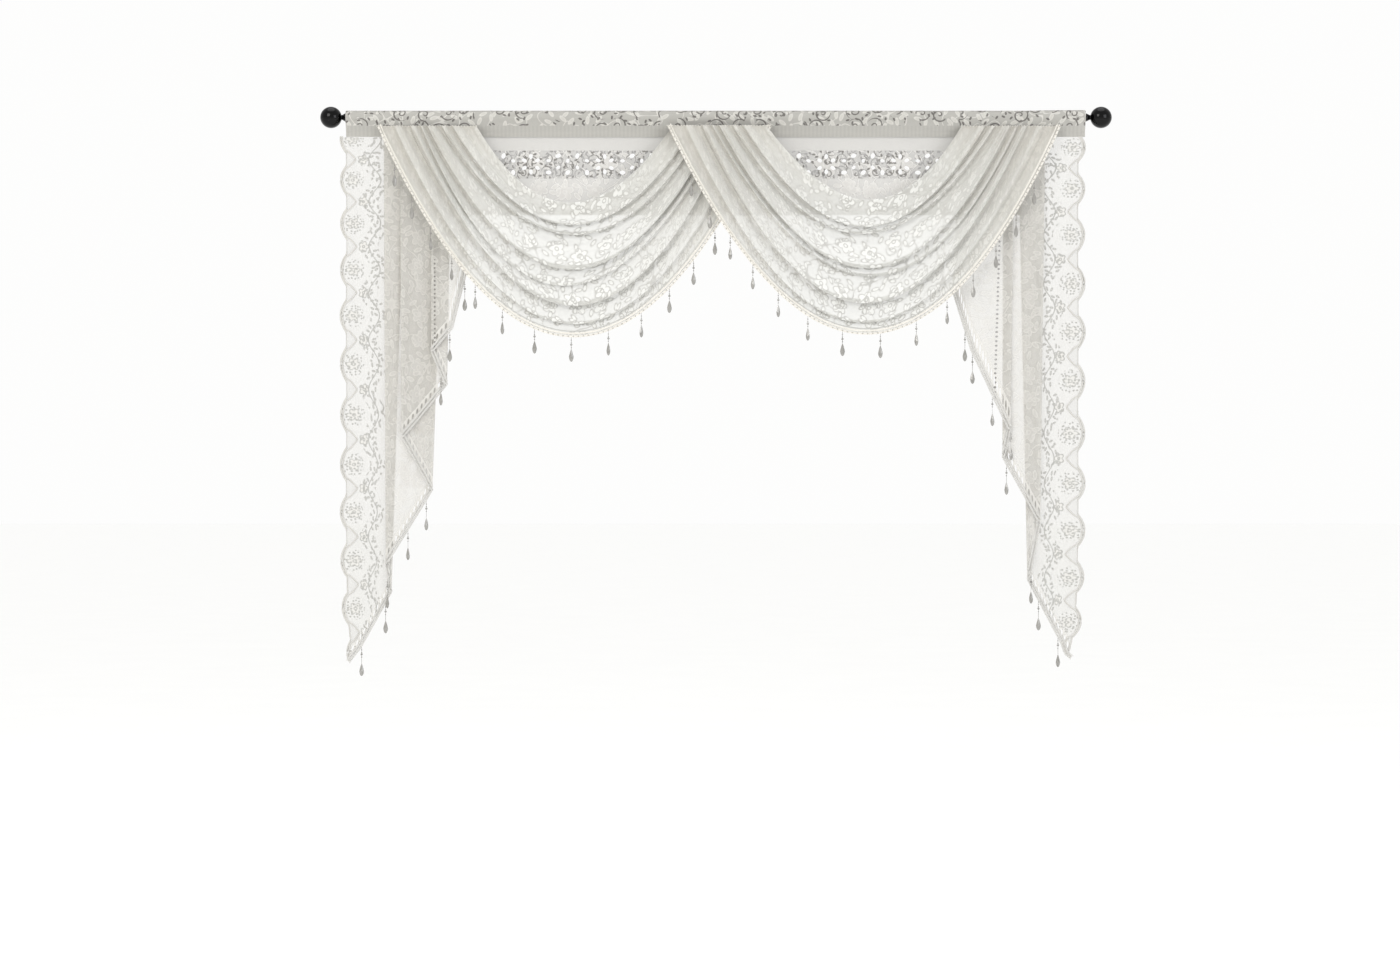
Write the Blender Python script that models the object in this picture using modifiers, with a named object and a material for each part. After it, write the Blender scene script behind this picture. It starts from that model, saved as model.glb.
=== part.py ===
"""Lace swag curtain hung on a rod: a heading, two swags, two pleated tails and a back valance.

Metres, +Z up, the front faces -Y. The origin is on the rod's axis, halfway along the heading.
Every cloth is an open sheet of smooth rows of points that Solidify makes 1.2 mm thick.
"""
import math
from collections import namedtuple

import bmesh
import bpy
from mathutils import Matrix, Vector

# Rod and finials
ROD_RADIUS = 0.0125
ROD_SIDES = 20
BALL_RADIUS = 0.0218
BALL_CENTRE_LEFT = -0.7805
BALL_CENTRE_RIGHT = 0.7825
COLLAR_RADIUS = 0.0085
WAIST_RADIUS = 0.0048
FIT_GAP = 0.0003

# Cloth and heading
CLOTH = 0.0012
HEADING_HALF = 0.750
POCKET_RADIUS = 0.0130
SEAM_TOP = -0.0310
SEAM_BOTTOM = -0.0396
HEADING_STATIONS = 9
HEADING_END_FLARE = 0.10

# Back valance, with its band of open lace
VALANCE_HALF = 0.620
VALANCE_TOP = -0.0335
VALANCE_BOTTOM = -0.198
VALANCE_BACK = 0.0034
VALANCE_WAVE = 0.0045
VALANCE_WAVE_LENGTH = 0.31
LACE_BAND_MIDDLE = -0.0945
LACE_REPEAT = 0.150
LACE_HOLE_SIDES = 5
PETALS = 6
PETAL_REACH = 0.0155
PETAL_HOLE = 0.0052
SCROLL_STEPS = 5
SCROLL_START = 0.036
SCROLL_STEP = 0.0195
SCROLL_SWING = 0.0170
SCROLL_HOLE = 0.0058

# Swags
STITCH_LINE = -0.0187
SWAG_COLUMNS = 23
SWAG_CROWDING = 0.6
SWAG_ROWS_PER_FOLD = 2
GATHER_FRONT = 0.0130
GATHER_RIPPLE = 0.0030
GATHER_PUFF = 0.0075
GATHER_PUFF_FALL = 0.022
SWAG_SLOPE = 0.085
OVERLAP_LEAD = 0.0098
OVERLAP_LEAD_BELOW = 0.0050
OVERLAP_LEAD_FALL = 0.060
OVERLAP_END = 0.20
OVERLAP_FADE = 0.50

# Tails
TAIL_TOP = 0.0402
PLEAT_PITCH_TOP = 0.0024
PLEAT_PITCH = 0.0045
PLEAT_OPEN_FALL = 0.21
PLEAT_ROUND = 0.0022
SCALLOP_COUNT = 11
SCALLOP_BREADTH = 0.75
SCALLOP_ROUND = 0.8
EDGE_POINTS_PER_SCALLOP = 6
STRIP_WAVE = 0.0045
STRIP_WAVE_LENGTH = 0.37
TIP_CURL = 16
FLUTE_DEPTH = 0.0060
FLUTE_WIDTH = 0.105
FLUTE_FALL = 0.30
EYELET_RADIUS = 0.0045
EYELET_MARGIN = 0.0040

# Beaded trims
TRIM_GAP = 0.0008
TRIM_HEIGHT = 0.0040
TRIM_THICK = 0.0016
DROP_ROOT_HALF = 0.0012
TAIL_THREAD_MORE = 0.010

Look = namedtuple("Look", "colour roughness metallic")
LACE = Look((0.86, 0.84, 0.81, 1.0), 0.85, 0.0)
BEADS = Look((0.88, 0.87, 0.85, 1.0), 0.25, 0.0)
BLACK_METAL = Look((0.012, 0.012, 0.013, 1.0), 0.18, 0.6)

# A fold line runs across a swag from gather to gather. drop is its lowest point below the stitch
# line, left and right are where it is gathered, low is where it hangs lowest (all from the swag's
# middle), and relief is how far it stands in front of (lip) or behind (tuck) the mean cloth.
FoldLine = namedtuple("FoldLine", "drop left right low relief")
LEFT_SWAG_LINES = (
    FoldLine(0.157, -0.199, 0.199, -0.008, 0.003),
    FoldLine(0.186, -0.224, 0.222, -0.006, -0.005),
    FoldLine(0.203, -0.243, 0.240, -0.004, 0.008),
    FoldLine(0.199, -0.254, 0.250, -0.004, -0.006),
    FoldLine(0.223, -0.266, 0.262, 0.000, 0.008),
    FoldLine(0.218, -0.276, 0.272, 0.002, -0.008),
    FoldLine(0.255, -0.284, 0.281, 0.004, 0.003),
    FoldLine(0.293, -0.295, 0.288, -0.004, 0.010),
    FoldLine(0.285, -0.303, 0.296, -0.006, -0.009),
    FoldLine(0.325, -0.310, 0.303, -0.018, 0.005),
    FoldLine(0.322, -0.317, 0.311, -0.012, -0.005),
    FoldLine(0.366, -0.328, 0.320, 0.000, 0.010),
    FoldLine(0.358, -0.340, 0.333, 0.000, -0.009),
    FoldLine(0.402, -0.358, 0.352, 0.000, 0.007),
    FoldLine(0.399, -0.374, 0.370, 0.000, -0.004),
    FoldLine(0.4255, -0.396, 0.394, 0.000, 0.003),
)
RIGHT_SWAG_LINES = (
    FoldLine(0.151, -0.197, 0.199, 0.010, 0.003),
    FoldLine(0.184, -0.220, 0.224, 0.006, -0.006),
    FoldLine(0.207, -0.238, 0.241, 0.002, 0.009),
    FoldLine(0.203, -0.250, 0.252, 0.000, -0.006),
    FoldLine(0.221, -0.261, 0.263, -0.004, 0.007),
    FoldLine(0.217, -0.271, 0.273, -0.004, -0.008),
    FoldLine(0.252, -0.280, 0.284, 0.002, 0.004),
    FoldLine(0.290, -0.289, 0.294, 0.006, 0.010),
    FoldLine(0.283, -0.297, 0.302, 0.008, -0.008),
    FoldLine(0.307, -0.305, 0.310, 0.014, 0.004),
    FoldLine(0.304, -0.312, 0.317, 0.010, -0.005),
    FoldLine(0.360, -0.322, 0.327, 0.002, 0.010),
    FoldLine(0.353, -0.334, 0.339, 0.000, -0.009),
    FoldLine(0.399, -0.352, 0.356, -0.002, 0.007),
    FoldLine(0.396, -0.370, 0.373, 0.000, -0.004),
    FoldLine(0.4200, -0.393, 0.395, 0.004, 0.003),
)
Swag = namedtuple("Swag", "name middle lines leads first_drop drop_pitch drops")
SWAGS = (
    Swag("swag_left", -0.2852, LEFT_SWAG_LINES, False, 0.085, 0.0745, 15),
    Swag("swag_right", 0.2994, RIGHT_SWAG_LINES, True, 0.110, 0.0752, 14),
)

# A pleat row is one upright line of a tail, from the scalloped edge inwards. top and hem are its x
# at the heading and at the hem, drop is how far the hem hangs below the rod's axis, turns says that
# the cloth folds back there, and drops are shares of the hem from the row before with a bead drop.
# The peaks are how far each scallop's peak hangs below the rod's axis.
PleatRow = namedtuple("PleatRow", "top hem drop turns drops")
LEFT_TAIL_ROWS = (
    PleatRow(-0.7560, -0.7400, 1.103, False, ()),
    PleatRow(-0.6300, -0.6570, 0.959, True, (0.22, 0.80)),
    PleatRow(-0.6730, -0.6690, 0.900, True, (0.40,)),
    PleatRow(-0.5490, -0.5735, 0.752, True, (0.43, 0.82)),
    PleatRow(-0.6400, -0.6360, 0.645, True, ()),
    PleatRow(-0.5350, -0.5430, 0.539, True, ()),
    PleatRow(-0.5755, -0.5755, 0.472, True, (0.25,)),
    PleatRow(-0.5360, -0.5350, 0.427, False, (0.85,)),
    PleatRow(-0.4980, -0.5024, 0.293, False, (0.70,)),
)
RIGHT_TAIL_ROWS = (
    PleatRow(0.7436, 0.7217, 1.095, False, ()),
    PleatRow(0.6140, 0.6324, 0.933, True, (0.25, 0.70)),
    PleatRow(0.6690, 0.6590, 0.817, True, (0.08,)),
    PleatRow(0.5836, 0.5816, 0.685, True, (0.84,)),
    PleatRow(0.6060, 0.5980, 0.630, True, (0.85,)),
    PleatRow(0.5500, 0.5207, 0.472, False, (0.42, 0.95)),
    PleatRow(0.4960, 0.4800, 0.340, False, (0.28,)),
)
LEFT_PEAKS = (0.0436, 0.1269, 0.2142, 0.3088, 0.4023, 0.5004, 0.6035, 0.7046, 0.8012, 0.9007, 0.9971,
              1.0950)
RIGHT_PEAKS = (0.0609, 0.1435, 0.2375, 0.3372, 0.4350, 0.5349, 0.6413, 0.7428, 0.8386, 0.9344,
               1.0254, 1.1170)
Tail = namedtuple("Tail", "name side rows peaks scallop")
TAILS = (
    Tail("tail_left", -1, LEFT_TAIL_ROWS, LEFT_PEAKS, 0.0060),
    Tail("tail_right", 1, RIGHT_TAIL_ROWS, RIGHT_PEAKS, 0.0070),
)
EYELET_COLUMNS = 6
EYELET_ROWS = 3

# A bead drop, ring by ring: fall below the strip, half width across and half depth
DropRing = namedtuple("DropRing", "fall across deep")
DROP_RINGS = (
    DropRing(0.0220, 0.0010, 0.0010),
    DropRing(0.0360, 0.0050, 0.0026),
    DropRing(0.0480, 0.0008, 0.0008),
)

PARTS_NAME = "lace_curtain_on_a_rod"


def clear_scene():
    for thing in list(bpy.data.objects):
        bpy.data.objects.remove(thing)


def finish(name, look):
    """A Principled material of one colour."""
    material = bpy.data.materials.new(name)
    material.use_nodes = True
    shader = material.node_tree.nodes["Principled BSDF"]
    shader.inputs["Base Color"].default_value = look.colour
    shader.inputs["Roughness"].default_value = look.roughness
    shader.inputs["Metallic"].default_value = look.metallic
    return material


def add_part(parts, name, mesh, look):
    part = bpy.data.objects.new(name, mesh)
    mesh.materials.append(finish(name + "_finish", look))
    parts.objects.link(part)
    return part


def mesh_from(work, name):
    """Turn a bmesh into a mesh with its faces pointing out."""
    bmesh.ops.recalc_face_normals(work, faces=work.faces)
    mesh = bpy.data.meshes.new(name)
    work.to_mesh(mesh)
    work.free()
    return mesh


def thicken(part, thickness=CLOTH):
    solidify = part.modifiers.new("cloth thickness", "SOLIDIFY")
    solidify.thickness = thickness
    solidify.offset = 0.0
    solidify.use_even_offset = True


def smooth_step(share):
    share = min(max(share, 0.0), 1.0)
    return share * share * (3.0 - 2.0 * share)


def mix(first, second, share):
    return first + (second - first) * share


def catmull(rows, place):
    """Read a table of rows at a fractional place, on a smooth curve through every column."""
    last = len(rows) - 1
    index = min(int(place), last - 1)
    share = place - index
    around = [rows[min(max(index + step, 0), last)] for step in (-1, 0, 1, 2)]
    values = []
    for before, start, end, after in zip(*around):
        rise = (end - before) / 2.0
        leave = (after - start) / 2.0
        bend = 3.0 * (end - start) - 2.0 * rise - leave
        turn = rise + leave - 2.0 * (end - start)
        values.append(start + share * (rise + share * (bend + share * turn)))
    return type(rows[0])(*values)


def skin(work, columns):
    """Join neighbouring columns of points; a column may have several points for each of the next."""
    grid = [[work.verts.new(point) for point in column] for column in columns]
    strips = []
    for left, right in zip(grid, grid[1:]):
        step = (len(left) - 1) // (len(right) - 1)
        strip = []
        for row in range(len(right) - 1):
            edge = left[row * step:(row + 1) * step + 1]
            strip.append(work.faces.new(edge + [right[row + 1], right[row]]))
        strips.append(strip)
    return strips


def make_rod(parts):
    """A plain tube's outside, ending flush with the heading."""
    work = bmesh.new()
    bmesh.ops.create_cone(
        work, cap_ends=True, segments=ROD_SIDES, radius1=ROD_RADIUS, radius2=ROD_RADIUS,
        depth=2.0 * HEADING_HALF)
    rod = add_part(parts, "rod", mesh_from(work, "rod"), BLACK_METAL)
    rod.rotation_euler = (0.0, math.pi / 2.0, 0.0)
    for face in rod.data.polygons:
        face.use_smooth = len(face.vertices) == 4


def make_finial(parts, name, centre, side):
    """A ball on a waisted neck, turned about the rod's axis."""
    reach = abs(centre) - HEADING_HALF - FIT_GAP
    neck_angle = math.asin(WAIST_RADIUS / BALL_RADIUS)
    neck_at = reach - BALL_RADIUS * math.cos(neck_angle)
    profile = [(0.0, 0.0), (COLLAR_RADIUS, 0.0), (COLLAR_RADIUS, neck_at * 0.22)]
    profile.append((WAIST_RADIUS, neck_at * 0.75))
    arc_steps = 9
    for step in range(arc_steps + 1):
        angle = mix(neck_angle, math.pi, step / arc_steps)
        profile.append((BALL_RADIUS * math.sin(angle), reach - BALL_RADIUS * math.cos(angle)))
    profile[-1] = (0.0, reach + BALL_RADIUS)
    work = bmesh.new()
    points = [work.verts.new((radius, 0.0, height)) for radius, height in reversed(profile)]
    for start, end in zip(points, points[1:]):
        work.edges.new((start, end))
    mesh = bpy.data.meshes.new(name)
    work.to_mesh(mesh)
    work.free()
    finial = add_part(parts, name, mesh, BLACK_METAL)
    finial.location = (side * (HEADING_HALF + FIT_GAP), 0.0, 0.0)
    finial.rotation_euler = (0.0, side * math.pi / 2.0, 0.0)
    screw = finial.modifiers.new("turned", "SCREW")
    screw.axis = "Z"
    screw.steps = 18
    screw.render_steps = 18
    screw.use_merge_vertices = True
    screw.merge_threshold = 0.00005
    screw.use_smooth_shade = True


def pocket_outline(radius, bottom, half_bottom):
    """A teardrop round the rod: an arc, then two straight sides down to the seam."""
    slant = math.atan2(half_bottom, -bottom) - math.asin(radius / math.hypot(half_bottom, bottom))
    arc_steps = 14
    points = []
    for step in range(arc_steps + 1):
        angle = mix(slant, math.pi - slant, step / arc_steps)
        points.append((-radius * math.cos(angle), radius * math.sin(angle)))
    points.append((half_bottom, bottom))
    points.append((-half_bottom, bottom))
    return points


def make_heading(parts):
    """The rod pocket: one strip of lace round the rod, its two layers sewn together below."""
    outer = pocket_outline(POCKET_RADIUS + CLOTH, SEAM_TOP, CLOTH)
    inner = pocket_outline(POCKET_RADIUS, SEAM_TOP + CLOTH, 0.0004)
    outer = outer[:-2] + [(CLOTH, SEAM_TOP), (CLOTH, SEAM_BOTTOM), (-CLOTH, SEAM_BOTTOM),
                          (-CLOTH, SEAM_TOP)]
    work = bmesh.new()
    rings = []
    for station in range(HEADING_STATIONS):
        share = station / (HEADING_STATIONS - 1)
        flare = 1.0 + HEADING_END_FLARE * smooth_step((share - 0.9) / 0.1)
        x = mix(-HEADING_HALF, HEADING_HALF, share)
        ring = [[work.verts.new((x, y * flare, z * flare if z > 0 else z)) for y, z in outline]
                for outline in (outer, inner)]
        rings.append(ring)
    for before, after in zip(rings, rings[1:]):
        for start, end in zip(before, after):
            for index, corner in enumerate(start):
                following = (index + 1) % len(start)
                work.faces.new((corner, start[following], end[following], end[index]))
    for ring in (rings[0], rings[-1]):
        edges = []
        for loop in ring:
            for index, corner in enumerate(loop):
                edges.append(work.edges.get((corner, loop[(index + 1) % len(loop)])))
        bmesh.ops.triangle_fill(work, edges=edges, use_beauty=True)
    add_part(parts, "heading", mesh_from(work, "heading"), LACE)


def lace_holes():
    """Middles and radii of the holes of the open lace band: flowers, and scrolls between them."""
    holes = []
    repeats = int(2.0 * VALANCE_HALF / LACE_REPEAT)
    first = -(repeats - 1) * LACE_REPEAT / 2.0
    for repeat in range(repeats):
        flower = first + repeat * LACE_REPEAT
        for petal in range(PETALS):
            angle = 2.0 * math.pi * (petal + 0.5) / PETALS
            x = flower + PETAL_REACH * math.cos(angle)
            holes.append(((x, LACE_BAND_MIDDLE + PETAL_REACH * math.sin(angle)), PETAL_HOLE, angle))
        if repeat == repeats - 1:
            break
        for step in range(SCROLL_STEPS):
            x = flower + SCROLL_START + SCROLL_STEP * step
            swing = SCROLL_SWING if step % 2 else -SCROLL_SWING
            holes.append(((x, LACE_BAND_MIDDLE + swing), SCROLL_HOLE, 0.4 * step))
            holes.append(((x, LACE_BAND_MIDDLE - 0.4 * swing), SCROLL_HOLE * 0.8, 0.7 * step))
    return holes


def make_back_valance(parts):
    """A flat lace panel behind the swags, its holes cut through as holes of a filled outline."""
    curve = bpy.data.curves.new("back_valance", "CURVE")
    curve.dimensions = "2D"
    curve.fill_mode = "BOTH"
    curve.extrude = CLOTH / 2.0
    steps = 16
    top = [(mix(-VALANCE_HALF, VALANCE_HALF, step / steps), VALANCE_TOP) for step in range(steps + 1)]
    outline = top + [(x, VALANCE_BOTTOM) for x, z in reversed(top)]
    rings = [outline]
    for (x, z), radius, turn in lace_holes():
        angles = [turn + 2.0 * math.pi * side / LACE_HOLE_SIDES for side in range(LACE_HOLE_SIDES)]
        rings.append([(x + radius * math.cos(angle), z + radius * math.sin(angle))
                      for angle in angles])
    for ring in rings:
        spline = curve.splines.new("POLY")
        spline.points.add(len(ring) - 1)
        for point, (x, z) in zip(spline.points, ring):
            point.co = (x, z, 0.0, 1.0)
        spline.use_cyclic_u = True
    flat = bpy.data.objects.new("flat valance", curve)
    parts.objects.link(flat)
    bpy.context.view_layer.update()
    evaluated = flat.evaluated_get(bpy.context.evaluated_depsgraph_get())
    work = bmesh.new()
    work.from_mesh(bpy.data.meshes.new_from_object(evaluated))
    bpy.data.objects.remove(flat)
    bmesh.ops.remove_doubles(work, verts=work.verts, dist=0.00001)
    for corner in work.verts:
        x, z, depth = corner.co
        fall = (VALANCE_TOP - z) / (VALANCE_TOP - VALANCE_BOTTOM)
        wave = 0.5 - 0.5 * math.cos(2.0 * math.pi * x / VALANCE_WAVE_LENGTH)
        corner.co = (x, VALANCE_BACK + VALANCE_WAVE * fall * wave - depth, z)
    add_part(parts, "back_valance", mesh_from(work, "back_valance"), LACE)


def swag_point(swag, place, share):
    """A point of a swag: place runs down its fold lines, share runs from gather to gather."""
    line = catmull(swag.lines, place)
    control = 2.0 * line.low - (line.left + line.right) / 2.0
    rest = 1.0 - share
    x = rest * rest * line.left + 2.0 * share * rest * control + share * share * line.right
    depth_share = 4.0 * share * rest
    fall = line.drop * depth_share
    ripple = GATHER_RIPPLE * max(-1.0, min(1.0, line.relief / 0.004))
    front = GATHER_FRONT + GATHER_PUFF * smooth_step(fall / GATHER_PUFF_FALL) + SWAG_SLOPE * fall
    front += mix(ripple, line.relief, depth_share)
    if swag.leads:
        lead = OVERLAP_LEAD + OVERLAP_LEAD_BELOW * smooth_step(fall / OVERLAP_LEAD_FALL)
        front += lead * (1.0 - smooth_step((share - OVERLAP_END) / (OVERLAP_FADE - OVERLAP_END)))
    return Vector((swag.middle + x, -front, STITCH_LINE - fall))


def make_swag(parts, swag):
    """A swag: fold lines that hang as parabolas between two gathers on the heading."""
    intervals = (len(swag.lines) - 1) * SWAG_ROWS_PER_FOLD
    columns = []
    for column in range(SWAG_COLUMNS):
        even = column / (SWAG_COLUMNS - 1)
        share = mix(even, 0.5 - 0.5 * math.cos(math.pi * even), SWAG_CROWDING)
        columns.append([swag_point(swag, row / SWAG_ROWS_PER_FOLD, share)
                        for row in range(intervals + 1)])
    work = bmesh.new()
    skin(work, columns)
    part = add_part(parts, swag.name, mesh_from(work, swag.name), LACE)
    thicken(part)
    return hem_of(columns)


def hem_of(columns):
    """The hem's points, and which way the cloth runs into it at each."""
    points = [column[-1] for column in columns]
    return points, [(column[-1] - column[-2]).normalized() for column in columns]


def pleat_pitch(fall):
    return mix(PLEAT_PITCH_TOP, PLEAT_PITCH, smooth_step(fall / PLEAT_OPEN_FALL))


Upright = namedtuple("Upright", "top hem drop layer edge")


def tail_uprights(tail):
    """The upright lines of a tail, from the scalloped edge inwards, with rounded folds."""
    uprights = []
    layer = 0
    for before, row in zip(tail.rows, tail.rows[1:]):
        width = abs(row.top - before.top)
        cuts = max(2, round(width / 0.040))
        way = math.copysign(PLEAT_ROUND, row.top - before.top)
        shares = [step / cuts for step in range(cuts + 1)]
        for share in shares[:-1] if not row.turns else shares:
            edge = share == 0.0 and not uprights
            top = mix(before.top, row.top, share)
            hem = mix(before.hem, row.hem, share)
            if share == 0.0 and before.turns:
                top, hem = top + way, hem + way
            if share == 1.0:
                top, hem = top - way, hem - way
            uprights.append(Upright(top, hem, mix(before.drop, row.drop, share), layer, edge))
        if row.turns:
            uprights.append(Upright(row.top, row.hem, row.drop, layer + 0.5, False))
            layer += 1
    last = tail.rows[-1]
    uprights.append(Upright(last.top, last.hem, last.drop, layer, False))
    return uprights


def repeats(tail, down):
    """How many scallops lie above a height; the knitted repeat stretches as the cloth hangs."""
    peaks = tail.peaks
    index = 0
    while index < len(peaks) - 2 and peaks[index + 1] < down:
        index += 1
    return index + (down - peaks[index]) / (peaks[index + 1] - peaks[index])


def scallop(phase):
    """The edge of a scallop from -1 to 1: a broad round peak between flat hollows."""
    away = math.acos(math.cos(phase))
    return 2.0 * max(0.0, math.cos(SCALLOP_BREADTH * away)) ** SCALLOP_ROUND - 1.0


def tail_point(tail, upright, share):
    fall = (upright.drop - TAIL_TOP) * share
    reach = share ** TIP_CURL if upright.edge else share
    x = mix(upright.top, upright.hem, reach)
    y = -upright.layer * pleat_pitch(fall)
    outer, inner = tail.rows[0], tail.rows[1]
    if upright.layer == 0:
        strip = (upright.top - inner.top) / (outer.top - inner.top)
        y += STRIP_WAVE * strip * (1.0 - math.cos(2.0 * math.pi * fall / STRIP_WAVE_LENGTH))
    flute = 0.5 - 0.5 * math.cos(2.0 * math.pi * (x - inner.hem) / FLUTE_WIDTH)
    y += FLUTE_DEPTH * smooth_step(fall / FLUTE_FALL) * flute
    if upright.edge:
        phase = 2.0 * math.pi * repeats(tail, TAIL_TOP + fall)
        x += tail.side * tail.scallop * scallop(phase)
    return Vector((x, y, -TAIL_TOP - fall))


def cut_eyelets(work, strips):
    """Open the largest holes of the lace near a tail's inner hem."""
    for strip in strips[-EYELET_COLUMNS:]:
        for face in strip[-EYELET_ROWS:]:
            narrow = face.calc_area() / max(edge.calc_length() for edge in face.edges)
            if narrow < 2.0 * (EYELET_RADIUS + EYELET_MARGIN):
                continue
            bmesh.ops.inset_individual(work, faces=[face], thickness=EYELET_MARGIN)
            middle = face.calc_center_median()
            first = face.verts[0].co - middle
            facing = face.normal.copy()
            for index, corner in enumerate(face.verts):
                turn = Matrix.Rotation(index * math.pi / 2.0, 3, facing)
                corner.co = middle + turn @ first.normalized() * EYELET_RADIUS
            bmesh.ops.delete(work, geom=[face], context="FACES_ONLY")


def make_tail(parts, tail):
    """A tail: a flat scalloped strip, then pleats that stack forwards, cut off on a slant."""
    uprights = tail_uprights(tail)
    columns = []
    for upright in uprights:
        steps = SCALLOP_COUNT * EDGE_POINTS_PER_SCALLOP if upright.edge else SCALLOP_COUNT
        columns.append([tail_point(tail, upright, step / steps) for step in range(steps + 1)])
    work = bmesh.new()
    strips = skin(work, columns)
    cut_eyelets(work, strips)
    part = add_part(parts, tail.name, mesh_from(work, tail.name), LACE)
    thicken(part)
    return hem_of(columns)


class Hem:
    """A hem's line, read by its length, with the way the cloth runs into it."""

    def __init__(self, points, ways):
        self.points = points
        self.ways = ways
        self.marks = [0.0]
        for start, end in zip(points, points[1:]):
            self.marks.append(self.marks[-1] + (end - start).length)
        self.length = self.marks[-1]

    def read(self, values, length):
        length = min(max(length, 0.0), self.length)
        index = 0
        while index < len(self.marks) - 2 and self.marks[index + 1] < length:
            index += 1
        run = self.marks[index + 1] - self.marks[index]
        return values[index].lerp(values[index + 1], (length - self.marks[index]) / run)

    def at(self, length):
        return self.read(self.points, length)

    def along(self, length):
        reach = 0.0012
        return (self.at(length + reach) - self.at(length - reach)).normalized()

    def outward(self, length):
        """Away from the cloth, square to the hem."""
        along = self.along(length)
        way = self.read(self.ways, length)
        return (way - along * way.dot(along)).normalized()


def make_trim(parts, name, hem, drops, thread_more):
    """A narrow beaded strip along a hem, with its bead drops fused to it."""
    roots = {}
    stations = []
    for drop in drops:
        roots[round(drop - DROP_ROOT_HALF, 6)] = drop
        stations += [drop - DROP_ROOT_HALF, drop + DROP_ROOT_HALF]
    clear = 3.0 * DROP_ROOT_HALF
    for mark in hem.marks:
        if all(abs(mark - drop) > clear for drop in drops):
            stations.append(mark)
    stations.sort()
    work = bmesh.new()
    rings = []
    for length in stations:
        outward = hem.outward(length)
        across = hem.along(length).cross(outward).normalized() * (TRIM_THICK / 2.0)
        near = hem.at(length) + outward * TRIM_GAP
        far = near + outward * TRIM_HEIGHT
        corners = (near + across, near - across, far - across, far + across)
        rings.append([work.verts.new(corner) for corner in corners])
    for index, (before, after) in enumerate(zip(rings, rings[1:])):
        drop_here = round(stations[index], 6) in roots
        for side in range(4):
            following = (side + 1) % 4
            if drop_here and side == 2:
                hang_drop(work, [before[2], before[3], after[3], after[2]], thread_more)
            else:
                work.faces.new((before[side], before[following], after[following], after[side]))
    work.faces.new(rings[0])
    work.faces.new(rings[-1])
    add_part(parts, name, mesh_from(work, name), BEADS)


def hang_drop(work, root, thread_more):
    """Grow a thread and a teardrop bead straight down from a strip's underside."""
    middle = sum((corner.co for corner in root), Vector()) / 4.0
    along = (root[2].co + root[3].co - root[0].co - root[1].co).normalized()
    deep = (root[1].co + root[2].co - root[0].co - root[3].co).normalized()
    along_sign = math.copysign(1.0, along.x)
    deep_sign = math.copysign(1.0, deep.y)
    above = root
    for ring in DROP_RINGS:
        across = ring.across * along_sign
        back = ring.deep * deep_sign
        corners = ((-across, -back), (-across, back), (across, back), (across, -back))
        below = [work.verts.new((middle.x + x, middle.y + y, middle.z - ring.fall - thread_more))
                 for x, y in corners]
        for index in range(4):
            following = (index + 1) % 4
            work.faces.new((above[index], above[following], below[following], below[index]))
        above = below
    work.faces.new(above)


def tail_drop_lengths(tail, hem):
    """Where a tail's bead drops hang, as lengths along its hem."""
    uprights = tail_uprights(tail)
    turns = [hem.marks[index] for index, upright in enumerate(uprights) if upright.layer % 1]
    corners = [0.0]
    found = 0
    for row in tail.rows[1:-1]:
        if row.turns:
            corners.append(turns[found])
            found += 1
        else:
            places = [(abs(upright.hem - row.hem) + abs(upright.drop - row.drop), index)
                      for index, upright in enumerate(uprights)]
            corners.append(hem.marks[min(places)[1]])
    corners.append(hem.length)
    lengths = []
    for row, start, end in zip(tail.rows[1:], corners, corners[1:]):
        lengths += [mix(start, end, share) for share in row.drops]
    return lengths


def main():
    clear_scene()
    parts = bpy.data.collections.new(PARTS_NAME)
    bpy.context.scene.collection.children.link(parts)
    make_rod(parts)
    make_finial(parts, "finial_left", BALL_CENTRE_LEFT, -1)
    make_finial(parts, "finial_right", BALL_CENTRE_RIGHT, 1)
    make_heading(parts)
    make_back_valance(parts)
    for swag in SWAGS:
        hem = Hem(*make_swag(parts, swag))
        drops = [swag.first_drop + swag.drop_pitch * index for index in range(swag.drops)]
        make_trim(parts, swag.name.replace("swag", "swag_trim"), hem, drops, 0.0)
    for tail in TAILS:
        hem = Hem(*make_tail(parts, tail))
        make_trim(parts, tail.name.replace("tail", "tail_trim"), hem, tail_drop_lengths(tail, hem),
                  TAIL_THREAD_MORE)


main()
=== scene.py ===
# %% [markdown]
# # A lace swag curtain on a rod
# The real thing is a rod pocket of scroll lace, two draped swags, two pleated tails with a
# scalloped edge, a flat lace panel behind them and a beaded trim along every lower hem.
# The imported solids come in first. They fix where everything is, and each piece made here is a
# finer one on the same folds. Everything is in metres, the front faces -Y and Z is up.

import math
from collections import namedtuple

import bmesh
import bpy
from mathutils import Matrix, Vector


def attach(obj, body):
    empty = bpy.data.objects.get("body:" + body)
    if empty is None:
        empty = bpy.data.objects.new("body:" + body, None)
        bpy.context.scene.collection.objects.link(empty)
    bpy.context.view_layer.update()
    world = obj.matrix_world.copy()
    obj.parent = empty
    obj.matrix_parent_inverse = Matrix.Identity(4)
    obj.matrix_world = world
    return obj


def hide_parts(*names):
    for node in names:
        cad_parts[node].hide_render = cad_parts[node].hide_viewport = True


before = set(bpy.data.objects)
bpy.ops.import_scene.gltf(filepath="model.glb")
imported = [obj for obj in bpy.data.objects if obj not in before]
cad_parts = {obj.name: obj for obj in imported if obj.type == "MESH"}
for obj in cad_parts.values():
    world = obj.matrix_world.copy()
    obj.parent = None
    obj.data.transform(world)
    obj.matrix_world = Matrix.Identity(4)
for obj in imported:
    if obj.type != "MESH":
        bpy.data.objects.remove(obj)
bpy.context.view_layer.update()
print("solids:", ", ".join(sorted(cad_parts)))

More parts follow.
